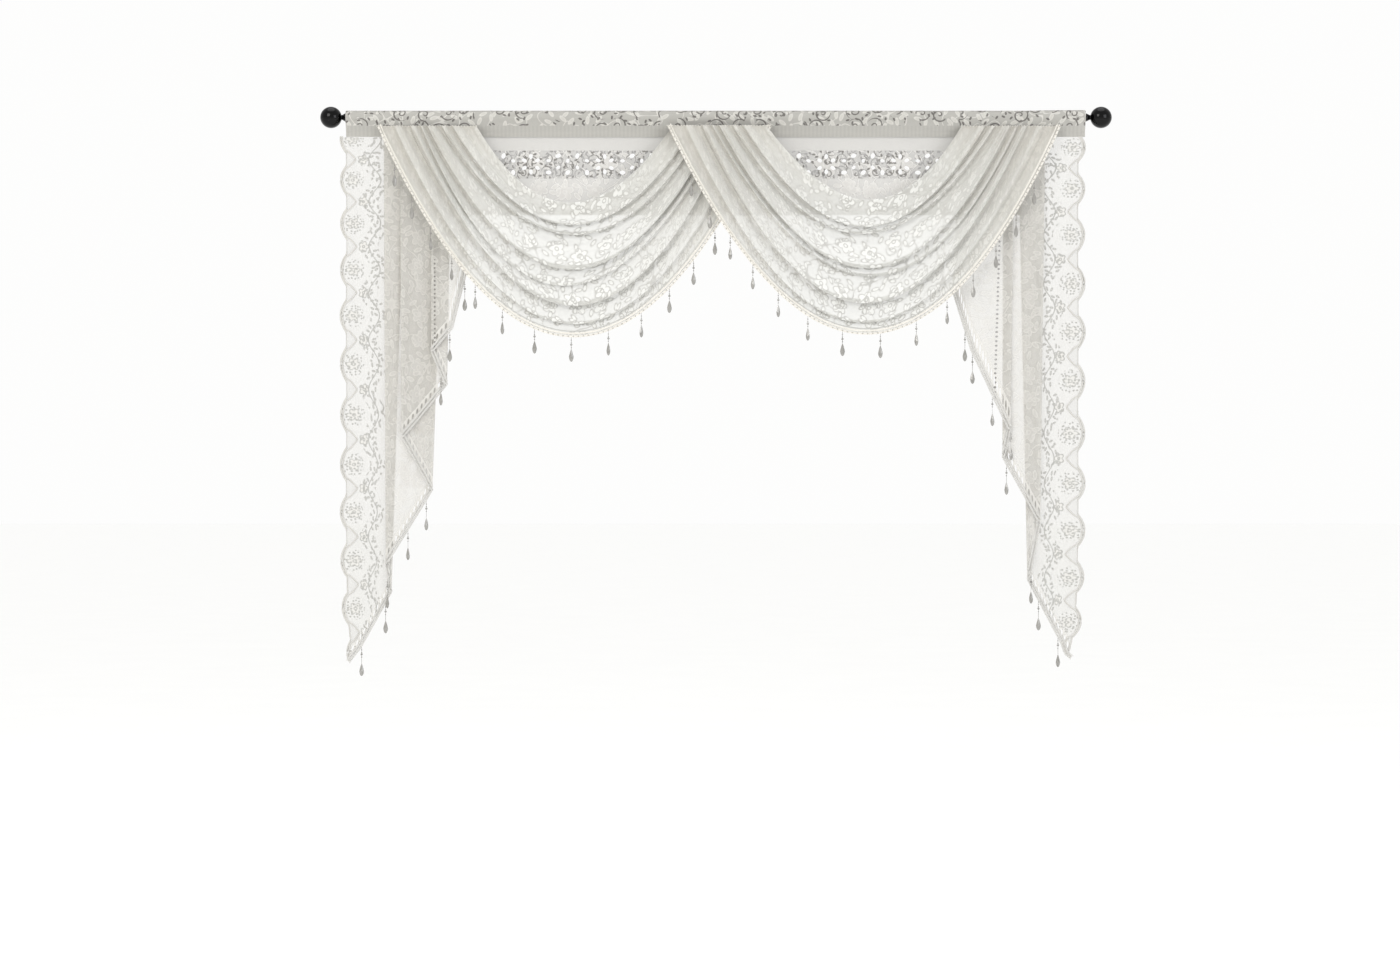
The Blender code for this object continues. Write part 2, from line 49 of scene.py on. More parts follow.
# %% [markdown]
# ## The camera
# The picture is taken straight from the front with a long lens, so the sides of the curtain stay
# upright. A camera at the height of the picture's middle, turned to look along +Y, gives that view.
# The distance follows from the lens: it frames 2.842 m at the curtain.

# %% Camera
FRAME_WIDTH = 2.842
FRAME_MIDDLE = (-0.0315, -0.736)
LENS_MM = 85.0
SENSOR_MM = 36.0

camera_data = bpy.data.cameras.new("studio camera")
camera_data.lens = LENS_MM
camera_data.sensor_width = SENSOR_MM
camera = bpy.data.objects.new("studio camera", camera_data)
bpy.context.scene.collection.objects.link(camera)
camera_distance = FRAME_WIDTH * LENS_MM / SENSOR_MM
camera.location = (FRAME_MIDDLE[0], -camera_distance, FRAME_MIDDLE[1])
camera.rotation_euler = (math.pi / 2.0, 0.0, 0.0)
bpy.context.scene.camera = camera
print("camera stands", round(camera_distance, 2), "m away")

# %% [markdown]
# ## Helpers for finishes
# Colours are picked as the hex codes that a screen shows (sRGB), but a shader works in linear
# light, so one function converts them. A second function adds any node with its settings and links,
# which keeps each finish readable as one recipe.

# %% Colour and node helpers
def linear(code):
    """An sRGB hex code as linear red, green, blue and alpha."""
    values = [int(code[place:place + 2], 16) / 255.0 for place in (1, 3, 5)]
    bright = [v / 12.92 if v <= 0.04045 else ((v + 0.055) / 1.055) ** 2.4 for v in values]
    return (*bright, 1.0)


def add(tree, kind, feeds=None, **settings):
    """Add a node, set its properties, then fill its inputs with values or with what they link to."""
    made = tree.nodes.new(kind)
    for name, value in settings.items():
        setattr(made, name, value)
    for place, value in (feeds or {}).items():
        source = value.outputs[0] if isinstance(value, bpy.types.Node) else value
        if isinstance(source, bpy.types.NodeSocket):
            tree.links.new(source, made.inputs[place])
        else:
            made.inputs[place].default_value = source
    return made


def new_finish(name):
    """An empty material with its Principled shader."""
    material = bpy.data.materials.new(name)
    material.use_nodes = True
    return material, material.node_tree, material.node_tree.nodes["Principled BSDF"]


print("white thread in linear light:", [round(v, 3) for v in linear("#F2EFEA")])

# %% [markdown]
# ## Floor and light
# A studio lights sheer cloth softly: a wide lamp high on the left models the folds, a weaker one on
# the right fills them, and a pale room gives the rest. The room is white where the camera looks
# straight at it, and dimmer as a light, so that the folds keep their shade.

# %% Floor
FLOOR_HEIGHT = -1.62
FLOOR_HALF = 60.0

floor_mesh = bpy.data.meshes.new("studio floor")
floor_corners = [(-1, -1), (1, -1), (1, 1), (-1, 1)]
floor_mesh.from_pydata([(x * FLOOR_HALF, y * FLOOR_HALF, FLOOR_HEIGHT) for x, y in floor_corners],
                       [], [(0, 1, 2, 3)])
floor = bpy.data.objects.new("studio_floor", floor_mesh)
bpy.context.scene.collection.objects.link(floor)

# Matt paper: no gloss, and a faint mottle as pulp has.
paper, tree, shader = new_finish("matt seamless paper")
place = add(tree, "ShaderNodeTexCoord").outputs["Object"]
mottle = add(tree, "ShaderNodeTexNoise", {"Vector": place, "Scale": 3.0, "Detail": 2.0})
tone = add(tree, "ShaderNodeMix", {0: mottle, 6: linear("#F8F8F7"), 7: linear("#FBFBFA")},
           data_type="RGBA")
tree.links.new(tone.outputs[2], shader.inputs["Base Color"])
shader.inputs["Roughness"].default_value = 0.9
floor_mesh.materials.append(paper)

# %% Lamps and room light
Lamp = namedtuple("Lamp", "name place aim size watts code")
LAMPS = (
    Lamp("wide soft lamp", (-2.2, -3.6, 1.5), (0.0, 0.0, -0.5), 2.0, 72.0, "#FFFDF9"),
    Lamp("fill lamp", (3.4, -3.6, 0.6), (0.0, 0.0, -0.5), 2.4, 60.0, "#F8FAFF"),
)
for lamp in LAMPS:
    data = bpy.data.lights.new(lamp.name, "AREA")
    data.shape = "SQUARE"
    data.size = lamp.size
    data.energy = lamp.watts
    data.color = linear(lamp.code)[:3]
    light = bpy.data.objects.new(lamp.name, data)
    bpy.context.scene.collection.objects.link(light)
    light.location = lamp.place
    light.rotation_euler = (Vector(lamp.aim) - Vector(lamp.place)).to_track_quat("-Z", "Y").to_euler()

# A broad sky-like lamp straight above lights the floor evenly and only grazes the hanging cloth.
overhead = bpy.data.lights.new("overhead lamp", "SUN")
overhead.energy = 1.00
overhead.angle = 0.9
above = bpy.data.objects.new("overhead lamp", overhead)
bpy.context.scene.collection.objects.link(above)

ROOM_SEEN = 0.985
ROOM_LIGHT = 0.72
room = bpy.data.worlds.new("pale room")
bpy.context.scene.world = room
room.use_nodes = True
tree = room.node_tree
strength = add(tree, "ShaderNodeMapRange", {
    0: add(tree, "ShaderNodeLightPath").outputs["Is Camera Ray"], 3: ROOM_LIGHT, 4: ROOM_SEEN})
tree.links.new(strength.outputs[0], tree.nodes["Background"].inputs["Strength"])
tree.nodes["Background"].inputs["Color"].default_value = (1.0, 1.0, 0.995, 1.0)
bpy.context.scene.view_settings.view_transform = "Standard"
bpy.context.scene.cycles.transparent_max_bounces = 40
print(len(LAMPS) + 1, "lamps")

# %% [markdown]
# ## Lace as a finish
# Machine lace is a net of fine thread with denser figures knitted into it. Drawing every thread as
# a mesh would take millions of faces, so the net and the figures are worked out by the shader from
# a UV map in real metres: the same motif keeps its size on every piece. Where there is no thread,
# alpha falls and the layers behind show through, as they do in the real cloth.
# Such a net is taken as 1.3 mm from thread to thread. It is drawn at 2.6 mm, so that it shows.
# A drawing is one number: 0 is bare net, 0.5 a filled shape and 1 the thicker thread round it.

# %% Motifs
NET_PITCH = 0.0026
NET_THREAD_FROM = 0.25
NET_THREAD_TO = 0.50
CORD_HALF = 0.0011
FILLED = 0.5
TURN_REACH = 6.0
PETAL_SWELL = 0.42
PETAL_BASE = 0.58
HEART_SHARE = 0.22
HEART_CORD_HALF = 0.0010
LEAF_TURN_REACH = 9.0
LEAF_LOOSE = 0.9
DOT_LOOSE = 0.75
STEM_HALF = 0.0006
SCROLL_LOOSE = 0.45
SCROLL_WINDING = 9.0
SCROLL_CORD_FROM = 0.70
GAP_LENGTH = 0.0080
GAP_WIDTH = 0.0042
CLUSTER_WANDER = 24.0


def net_threads(tree, cloth):
    """A diamond net: 1 on its threads."""
    turn = math.pi / NET_PITCH
    threads = []
    for way in (1.0, -1.0):
        slant = add(tree, "ShaderNodeVectorMath", {0: cloth, 1: (turn, way * turn, 0.0)},
                    operation="DOT_PRODUCT").outputs["Value"]
        wave = add(tree, "ShaderNodeMath", {0: slant}, operation="SINE")
        wave = add(tree, "ShaderNodeMath", {0: wave}, operation="ABSOLUTE")
        threads.append(wave)
    nearest = add(tree, "ShaderNodeMath", {0: threads[0], 1: threads[1]}, operation="MINIMUM")
    return add(tree, "ShaderNodeMapRange", {0: nearest, 1: NET_THREAD_FROM, 2: NET_THREAD_TO,
                                              3: 1.0, 4: 0.0})


def scattered(tree, cloth, pitch, loose):
    """Where a point lies from the middle of its motif, for motifs a pitch apart, and a random share."""
    cells = add(tree, "ShaderNodeTexVoronoi", {"Vector": cloth, "Scale": 1.0 / pitch,
                                               "Randomness": loose}, voronoi_dimensions="2D")
    local = add(tree, "ShaderNodeVectorMath", {0: cloth, 1: cells.outputs["Position"]},
                operation="SUBTRACT")
    return local, cells.outputs["Color"]


def blossom(tree, local, reach, petals, chance):
    """An open flower: corded petal rims, filled petals and a corded heart."""
    split = add(tree, "ShaderNodeSeparateXYZ", {0: local})
    angle = add(tree, "ShaderNodeMath", {0: split.outputs[1], 1: split.outputs[0]},
                operation="ARCTAN2")
    turned = add(tree, "ShaderNodeMath", {0: chance, 1: TURN_REACH, 2: 0.0},
                 operation="MULTIPLY_ADD")
    lobes = add(tree, "ShaderNodeMath", {0: angle, 1: petals / 2.0, 2: turned},
                operation="MULTIPLY_ADD")
    lobes = add(tree, "ShaderNodeMath", {0: lobes}, operation="COSINE")
    lobes = add(tree, "ShaderNodeMath", {0: lobes}, operation="ABSOLUTE")
    edge = add(tree, "ShaderNodeMath", {0: lobes, 1: PETAL_SWELL * reach,
                                       2: PETAL_BASE * reach}, operation="MULTIPLY_ADD")
    far = add(tree, "ShaderNodeVectorMath", {0: local}, operation="LENGTH").outputs["Value"]
    rim = add(tree, "ShaderNodeMath", {0: far, 1: edge, 2: CORD_HALF}, operation="COMPARE")
    heart = add(tree, "ShaderNodeMath", {0: far, 1: HEART_SHARE * reach, 2: HEART_CORD_HALF},
                operation="COMPARE")
    petal = add(tree, "ShaderNodeMath", {0: far, 1: edge}, operation="LESS_THAN")
    petal = add(tree, "ShaderNodeMath", {0: petal, 1: FILLED}, operation="MULTIPLY")
    dense = add(tree, "ShaderNodeMath", {0: rim, 1: heart}, operation="MAXIMUM")
    return add(tree, "ShaderNodeMath", {0: dense, 1: petal}, operation="MAXIMUM")


def leaves(tree, cloth, pitch, length, width):
    """Leaves turned every way, each with a corded rim."""
    local, chance = scattered(tree, cloth, pitch, LEAF_LOOSE)
    angle = add(tree, "ShaderNodeMath", {0: chance, 1: LEAF_TURN_REACH}, operation="MULTIPLY")
    local = add(tree, "ShaderNodeVectorRotate", {"Vector": local, "Angle": angle},
                rotation_type="Z_AXIS")
    shaped = add(tree, "ShaderNodeVectorMath", {0: local, 1: (2.0 / length, 2.0 / width, 0.0)},
                 operation="MULTIPLY")
    far = add(tree, "ShaderNodeVectorMath", {0: shaped}, operation="LENGTH").outputs["Value"]
    blade = add(tree, "ShaderNodeMath", {0: far, 1: 1.0}, operation="LESS_THAN")
    rim = add(tree, "ShaderNodeMath", {0: far, 1: 1.0 - CORD_HALF / width, 2: 2.0 * CORD_HALF / width},
              operation="COMPARE")
    cord = add(tree, "ShaderNodeMath", {0: rim, 1: FILLED}, operation="MAXIMUM")
    return add(tree, "ShaderNodeMath", {0: blade, 1: cord}, operation="MULTIPLY")


def speckle(tree, cloth, pitch, reach):
    """Small knitted dots, each a knot of the thicker thread."""
    local = scattered(tree, cloth, pitch, DOT_LOOSE)[0]
    far = add(tree, "ShaderNodeVectorMath", {0: local}, operation="LENGTH").outputs["Value"]
    return add(tree, "ShaderNodeMath", {0: far, 1: reach}, operation="LESS_THAN")


def vines(tree, cloth, wander):
    """Winding corded stems: the level lines of a smooth noise."""
    hills = add(tree, "ShaderNodeTexNoise", {"Vector": cloth, "Scale": wander, "Detail": 0.0},
                noise_dimensions="2D")
    return add(tree, "ShaderNodeMath", {0: hills, 1: 0.5, 2: STEM_HALF * wander},
               operation="COMPARE")


def volutes(tree, cloth, pitch, reach):
    """Scrolls: a thin spiral round each centre."""
    local, chance = scattered(tree, cloth, pitch, SCROLL_LOOSE)
    split = add(tree, "ShaderNodeSeparateXYZ", {0: local})
    angle = add(tree, "ShaderNodeMath", {0: split.outputs[1], 1: split.outputs[0]},
                operation="ARCTAN2")
    far = add(tree, "ShaderNodeVectorMath", {0: local}, operation="LENGTH").outputs["Value"]
    wound = add(tree, "ShaderNodeMath", {0: far, 1: SCROLL_WINDING / reach, 2: angle},
                operation="MULTIPLY_ADD")
    wound = add(tree, "ShaderNodeMath", {0: chance, 1: TURN_REACH, 2: wound},
                operation="MULTIPLY_ADD")
    wound = add(tree, "ShaderNodeMath", {0: wound}, operation="SINE")
    cord = add(tree, "ShaderNodeMath", {0: wound, 1: SCROLL_CORD_FROM}, operation="GREATER_THAN")
    near = add(tree, "ShaderNodeMath", {0: far, 1: reach}, operation="LESS_THAN")
    return add(tree, "ShaderNodeMath", {0: cord, 1: near}, operation="MULTIPLY")


def open_gaps(tree, cloth, pitch, reach, ovals_pitch, from_height):
    """Dark gaps where the ground is left out: short ovals, and arcs that wind round each centre.
    They stand in clusters: only where a broad noise is higher than from_height."""
    ovals = leaves(tree, cloth, ovals_pitch, GAP_LENGTH, GAP_WIDTH)
    ovals = add(tree, "ShaderNodeMath", {0: ovals, 1: 0.1}, operation="GREATER_THAN")
    gaps = add(tree, "ShaderNodeMath", {0: ovals, 1: volutes(tree, cloth, pitch, reach)},
               operation="MAXIMUM")
    hills = add(tree, "ShaderNodeTexNoise", {"Vector": cloth, "Scale": CLUSTER_WANDER,
                                              "Detail": 0.0}, noise_dimensions="2D")
    high = add(tree, "ShaderNodeMath", {0: hills, 1: from_height}, operation="GREATER_THAN")
    return add(tree, "ShaderNodeMath", {0: gaps, 1: high}, operation="MULTIPLY")


print("net drawn at", NET_PITCH * 1000.0, "mm")

# %% [markdown]
# Every lace finish shares that recipe, and they differ in what is knitted where: the swags and the
# pleats have flowers, leaves and winding stems all over, the tails' outer strip has a flower at
# each scallop, the rod pocket has scrolls, and the flat panel has one band of dense open work.
# Near a gather the threads are drawn together, so the alpha rises with the piece's own `gather`
# attribute. The same attribute tints the colour towards a darker beige: partly the denser thread,
# partly painted shade among the gathered folds. A second attribute paints the shadow under each
# fold lip and behind the pleats in the same way. That keeps the beige, fuller look of the gathers
# and the airy middle of each swag.

# %% One recipe for every lace
FLOWER_PITCH = 0.052
FLOWER_REACH = 0.0175
LEAF_PITCH = 0.023
LEAF_LENGTH = 0.0195
LEAF_WIDTH = 0.0090
FLOWER_LOOSE = 0.35
STEM_WANDER = 19.0

# The fourth tone is painted shade: the darker beige that gathers, fold shadows and pleats are tinted
# towards.
Lace = namedtuple("Lace", "net filled cord drawn open_alpha thread_alpha figure_alpha")
SWAG_LACE = Lace("#DCDCD7", "#E7E7E3", "#B9B8B3", "#B0AA9F", 0.44, 0.80, 0.90)
TAIL_LACE = Lace("#D1CFC9", "#DAD8D3", "#A9A8A3", "#B3ACA1", 0.30, 0.66, 0.88)
POCKET_LACE = Lace("#BEBCB6", "#C8C6BF", "#CFCDC7", "#B0ABA2", 0.76, 0.88, 0.94)
PANEL_LACE = Lace("#C6C4BF", "#D6D4D0", "#E0DEDA", "#B0ABA2", 0.60, 0.84, 0.94)
# How strongly gathers and fold shadows are tinted with painted shade:
GATHER_SHADE_SHARE = 0.42
FOLD_SHADOW_SHARE = 0.20
GATHER_CALM = 0.35
CALM_FULL_AT = 0.6
GATHER_LAYERS = 2.2
GAP_TONE = "#777470"
RELIEF_HEIGHT = 0.0004


def allover_figures(tree, cloth):
    """Flowers, leaves and stems scattered over the cloth."""
    local, chance = scattered(tree, cloth, FLOWER_PITCH, FLOWER_LOOSE)
    flowers = blossom(tree, local, FLOWER_REACH, 5, chance)
    blades = leaves(tree, cloth, LEAF_PITCH, LEAF_LENGTH, LEAF_WIDTH)
    both = add(tree, "ShaderNodeMath", {0: flowers, 1: blades}, operation="MAXIMUM")
    return add(tree, "ShaderNodeMath", {0: both, 1: vines(tree, cloth, STEM_WANDER)},
               operation="MAXIMUM")


def finish_lace(name, lace, draw):
    """A lace finish. draw gives its figures, and may give a tint and a cut-out as well."""
    material, tree, shader = new_finish(name)
    cloth = add(tree, "ShaderNodeUVMap", uv_map="cloth")
    hem = add(tree, "ShaderNodeUVMap", uv_map="hem")
    figures, shade, cut = draw(tree, cloth, hem)
    net = net_threads(tree, cloth)
    gather = add(tree, "ShaderNodeAttribute", attribute_name="gather").outputs["Fac"]
    tuck = add(tree, "ShaderNodeAttribute", attribute_name="tuck").outputs["Fac"]
    # Threads drawn together hide the drawing, so it fades where the cloth is gathered.
    calm = add(tree, "ShaderNodeMapRange", {0: gather, 2: CALM_FULL_AT, 3: 1.0, 4: GATHER_CALM})
    filled = add(tree, "ShaderNodeMapRange", {0: figures, 1: 0.0, 2: FILLED})
    filled = add(tree, "ShaderNodeMath", {0: filled, 1: calm}, operation="MULTIPLY")
    corded = add(tree, "ShaderNodeMapRange", {0: figures, 1: FILLED, 2: 1.0})
    corded = add(tree, "ShaderNodeMath", {0: corded, 1: calm}, operation="MULTIPLY")
    ground = add(tree, "ShaderNodeMapRange", {0: net, 3: lace.open_alpha, 4: lace.thread_alpha})
    solid = add(tree, "ShaderNodeMix", {0: filled, 2: ground, 3: lace.figure_alpha})
    # Drawn together, n layers of thread let through what one does to the power n.
    layers = add(tree, "ShaderNodeMath", {0: gather, 1: GATHER_LAYERS, 2: 1.0},
                 operation="MULTIPLY_ADD")
    gap = add(tree, "ShaderNodeMath", {0: 1.0, 1: solid}, operation="SUBTRACT")
    gap = add(tree, "ShaderNodeMath", {0: gap, 1: layers}, operation="POWER")
    alpha = add(tree, "ShaderNodeMath", {0: 1.0, 1: gap}, operation="SUBTRACT")
    if cut is not None:
        alpha = add(tree, "ShaderNodeMath", {0: alpha, 1: cut}, operation="MULTIPLY")
    tree.links.new(alpha.outputs[0], shader.inputs["Alpha"])
    tone = add(tree, "ShaderNodeMix", {0: filled, 6: linear(lace.net), 7: linear(lace.filled)},
               data_type="RGBA").outputs[2]
    tone = add(tree, "ShaderNodeMix", {0: corded, 6: tone, 7: linear(lace.cord)},
               data_type="RGBA").outputs[2]
    # Painted shade: gathers, the shadow under fold lips and the shadow behind pleats are tinted towards
    # the darker drawn tone. In a gather the tint also stands for the denser thread.
    drawn = add(tree, "ShaderNodeMath", {0: gather, 1: GATHER_SHADE_SHARE}, operation="MULTIPLY")
    drawn = add(tree, "ShaderNodeMath", {0: tuck, 1: FOLD_SHADOW_SHARE, 2: drawn}, operation="MULTIPLY_ADD",
                use_clamp=True)
    tone = add(tree, "ShaderNodeMix", {0: drawn, 6: tone, 7: linear(lace.drawn)},
               data_type="RGBA").outputs[2]
    if shade is not None:
        tone = add(tree, "ShaderNodeMix", {0: shade, 6: tone, 7: linear(GAP_TONE)},
                   data_type="RGBA").outputs[2]
    tree.links.new(tone, shader.inputs["Base Color"])
    rough = add(tree, "ShaderNodeMapRange", {0: filled, 3: 0.92, 4: 0.70})
    tree.links.new(rough.outputs[0], shader.inputs["Roughness"])
    relief = add(tree, "ShaderNodeMath", {0: figures, 1: 2.0, 2: net}, operation="MULTIPLY_ADD")
    bump = add(tree, "ShaderNodeBump", {"Height": relief, "Strength": 0.6,
                                         "Distance": RELIEF_HEIGHT})
    tree.links.new(bump.outputs[0], shader.inputs["Normal"])
    shader.inputs["Sheen Weight"].default_value = 0.15
    shader.inputs["Sheen Roughness"].default_value = 0.4
    return material


SELVEDGE = 0.0080
SELVEDGE_STITCH = 0.0085
SELVEDGE_STITCH_HALF = 0.0009


# Warp-knitted polyester: matt, with brighter, slightly silkier thread in the figures.
def draw_swag(tree, cloth, hem):
    """Figures all over, and a denser selvedge along the hem."""
    figures = allover_figures(tree, cloth)
    gap = add(tree, "ShaderNodeSeparateXYZ", {0: hem}).outputs[1]
    rolled = add(tree, "ShaderNodeMath", {0: gap, 1: SELVEDGE}, operation="LESS_THAN")
    rolled = add(tree, "ShaderNodeMath", {0: rolled, 1: FILLED}, operation="MULTIPLY")
    stitched = add(tree, "ShaderNodeMath", {0: gap, 1: SELVEDGE_STITCH,
                                          2: SELVEDGE_STITCH_HALF}, operation="COMPARE")
    rolled = add(tree, "ShaderNodeMath", {0: rolled, 1: stitched}, operation="MAXIMUM")
    return add(tree, "ShaderNodeMath", {0: figures, 1: rolled}, operation="MAXIMUM"), None, None


swag_finish = finish_lace("warp knitted floral lace", SWAG_LACE, draw_swag)
print(swag_finish.name, len(swag_finish.node_tree.nodes), "nodes")

# %% [markdown]
# The tails' outer strip follows the scallops: one flower at each peak among small dots, a second
# flower between the peaks, and a garland of leaves behind them. `cloth` starts at the scalloped
# edge, so its first number is the way in from the edge. Its second is the way down, counted in
# knitted repeats, so a flower stays at its peak where the cloth has stretched. The lowest 16 mm
# before the slanted hem are filled and have a row of small openings.

# %% Tail lace
SCALLOP_PITCH = 0.0970
SPRIG_IN = 0.0205
SPRIG_REACH = 0.0120
SPRIG_DRAWING = 0.90
SECOND_IN = 0.041
SECOND_REACH = 0.0110
PLEAT_DRAWING = 0.28
STRIP_BREADTH = 0.122
SPECKLE_PITCH = 0.0066
SPECKLE_REACH = 0.0017
SPECKLE_ROUND = 0.0225
DOT_PITCH = 0.0090
DOT_REACH = 0.0021
SWING_NEAR = 0.0035
SWING_FAR = 0.0260
SWING_FROM = 0.55
HOLLOW_SHADE = 0.13
GARLAND_IN = 0.066
GARLAND_SWING = 0.013
GARLAND_STEM_HALF = 0.0013
GARLAND_HALF = 0.021
GARLAND_LEAVES = (0.0115, 0.0100, 0.0046)
HEM_BAND = 0.016
EYELET_PITCH = 0.014
EYELET_IN = 0.0095
EYELET_REACH = 0.0034
# The highest scallop peak, then how far in the line of dots runs and how far down it starts.
TAIL_PLACES = {"left": (0.0436, 0.535, 0.315), "right": (0.0609, 0.315, 0.267)}


def draw_tail(first_peak, dots_in, dots_from):
    """The drawing of one tail: where its highest scallop peak is, and where its line of dots runs."""
    def draw(tree, cloth, hem):
        split = add(tree, "ShaderNodeSeparateXYZ", {0: cloth})
        inward, down = split.outputs[0], split.outputs[1]
        half = SCALLOP_PITCH / 2.0
        phase = add(tree, "ShaderNodeMath", {0: down, 1: first_peak}, operation="SUBTRACT")
        wrapped = add(tree, "ShaderNodeMath", {0: phase, 1: half, 2: -half}, operation="WRAP")
        reach = add(tree, "ShaderNodeMath", {0: inward, 1: SPRIG_IN}, operation="SUBTRACT")
        local = add(tree, "ShaderNodeCombineXYZ", {0: reach, 1: wrapped})
        sprig = blossom(tree, local, SPRIG_REACH, 6, 0.0)
        sprig = add(tree, "ShaderNodeMath", {0: sprig, 1: SPRIG_DRAWING}, operation="MULTIPLY")
        near = add(tree, "ShaderNodeVectorMath", {0: local}, operation="LENGTH").outputs["Value"]
        near = add(tree, "ShaderNodeMath", {0: near, 1: SPECKLE_ROUND}, operation="LESS_THAN")
        knots = speckle(tree, cloth, SPECKLE_PITCH, SPECKLE_REACH)
        knots = add(tree, "ShaderNodeMath", {0: knots, 1: near}, operation="MULTIPLY")
        sprig = add(tree, "ShaderNodeMath", {0: sprig, 1: knots}, operation="MAXIMUM")
        between = add(tree, "ShaderNodeMath", {0: phase, 1: half}, operation="ADD")
        between = add(tree, "ShaderNodeMath", {0: between, 1: half, 2: -half}, operation="WRAP")
        reach = add(tree, "ShaderNodeMath", {0: inward, 1: SECOND_IN}, operation="SUBTRACT")
        second = add(tree, "ShaderNodeCombineXYZ", {0: reach, 1: between})
        second = blossom(tree, second, SECOND_REACH, 5, 0.0)
        sprig = add(tree, "ShaderNodeMath", {0: sprig, 1: second}, operation="MAXIMUM")
        away = add(tree, "ShaderNodeMath", {0: wrapped}, operation="ABSOLUTE")
        swing = add(tree, "ShaderNodeMapRange",
                    {0: away, 1: SWING_FROM * half, 2: half, 3: SWING_NEAR, 4: SWING_FAR})
        hollow = add(tree, "ShaderNodeMath", {0: inward, 1: swing}, operation="LESS_THAN")
        hollow = add(tree, "ShaderNodeMath", {0: hollow, 1: HOLLOW_SHADE}, operation="MULTIPLY")
        sway = add(tree, "ShaderNodeMath", {0: phase, 1: 2.0 * math.pi / SCALLOP_PITCH},
                   operation="MULTIPLY")
        sway = add(tree, "ShaderNodeMath", {0: sway}, operation="COSINE")
        sway = add(tree, "ShaderNodeMath", {0: sway, 1: GARLAND_SWING, 2: GARLAND_IN},
                   operation="MULTIPLY_ADD")
        stem = add(tree, "ShaderNodeMath", {0: inward, 1: sway, 2: GARLAND_STEM_HALF},
                   operation="COMPARE")
        beside = add(tree, "ShaderNodeMath", {0: inward, 1: sway, 2: GARLAND_HALF},
                     operation="COMPARE")
        blades = leaves(tree, cloth, *GARLAND_LEAVES)
        blades = add(tree, "ShaderNodeMath", {0: blades, 1: beside}, operation="MULTIPLY")
        strip = add(tree, "ShaderNodeMath", {0: sprig, 1: stem}, operation="MAXIMUM")
        strip = add(tree, "ShaderNodeMath", {0: strip, 1: blades}, operation="MAXIMUM")
        beyond = add(tree, "ShaderNodeMath", {0: inward, 1: STRIP_BREADTH},
                     operation="GREATER_THAN")
        pleats = add(tree, "ShaderNodeMath", {0: allover_figures(tree, cloth), 1: PLEAT_DRAWING},
                     operation="MULTIPLY")
        figures = add(tree, "ShaderNodeMix", {0: beyond, 2: strip, 3: pleats})
        border = add(tree, "ShaderNodeSeparateXYZ", {0: hem})
        step = add(tree, "ShaderNodeMath", {0: border.outputs[0], 1: EYELET_PITCH / 2.0,
                                            2: -EYELET_PITCH / 2.0}, operation="WRAP")
        rise = add(tree, "ShaderNodeMath", {0: border.outputs[1], 1: EYELET_IN},
                   operation="SUBTRACT")
        far = add(tree, "ShaderNodeVectorMath",
                  {0: add(tree, "ShaderNodeCombineXYZ", {0: step, 1: rise})},
                  operation="LENGTH").outputs["Value"]
        cut = add(tree, "ShaderNodeMath", {0: far, 1: EYELET_REACH}, operation="GREATER_THAN")
        band = add(tree, "ShaderNodeMath", {0: border.outputs[1], 1: HEM_BAND},
                   operation="LESS_THAN")
        band = add(tree, "ShaderNodeMath", {0: band, 1: FILLED}, operation="MULTIPLY")
        figures = add(tree, "ShaderNodeMath", {0: figures, 1: band}, operation="MAXIMUM")
        # One line of small openings runs down a front pleat.
        beside = add(tree, "ShaderNodeMath", {0: inward, 1: dots_in}, operation="SUBTRACT")
        step = add(tree, "ShaderNodeMath", {0: down, 1: DOT_PITCH / 2.0, 2: -DOT_PITCH / 2.0},
                   operation="WRAP")
        far = add(tree, "ShaderNodeVectorMath",
                  {0: add(tree, "ShaderNodeCombineXYZ", {0: beside, 1: step})},
                  operation="LENGTH").outputs["Value"]
        dots = add(tree, "ShaderNodeMath", {0: far, 1: DOT_REACH}, operation="LESS_THAN")
        under = add(tree, "ShaderNodeMath", {0: down, 1: dots_from}, operation="GREATER_THAN")
        dots = add(tree, "ShaderNodeMath", {0: dots, 1: under}, operation="MULTIPLY")
        return figures, add(tree, "ShaderNodeMath", {0: hollow, 1: dots}, operation="MAXIMUM"), cut
    return draw


tail_finishes = {
    side: finish_lace("warp knitted border lace " + side, TAIL_LACE, draw_tail(*places))
    for side, places in TAIL_PLACES.items()}
print("border lace:", len(tail_finishes), "finishes")

# %% [markdown]
# The rod pocket has scrolls over the rod and a plain ribbed strip below it. The flat panel has a
# plain strip, then the open band with scrolls and flowers, then the same net as the swags. In both,
# the small gaps of the scrolls are a grey tone drawn on the cloth. It stands for the dark behind
# real gaps, which are too fine to cut. The panel's larger holes are cut later, in its mesh.

# %% Pocket lace and panel lace
RIB_PITCH = 0.004
RIB_LOW = 0.10
RIB_HIGH = 0.24
POCKET_PLAIN_FROM = 0.040
POCKET_PLAIN_SHADE = 0.17
POCKET_LEAVES = (0.0210, 0.0180, 0.0080)
POCKET_WANDER = 26.0
POCKET_GAPS = (0.040, 0.0170, 0.0170, 0.40)
POCKET_EDGE = 0.009
POCKET_EDGE_SHADE = 0.28
TOP_FIGURES = 0.22
TOP_SHADE = 0.12
BAND_TOP = 0.0335
BAND_BOTTOM = 0.0900
BAND_FLOWER_DOWN = 0.061
BAND_FLOWER_REACH = 0.026
BAND_LEAVES = (0.0190, 0.0180, 0.0080)
BAND_WANDER = 34.0
BAND_GAPS = (0.025, 0.0125, 0.0110, 0.30)
BARE_SHADE = 0.34
LEAST_SHADE = 0.15
LACE_REPEAT = 0.150


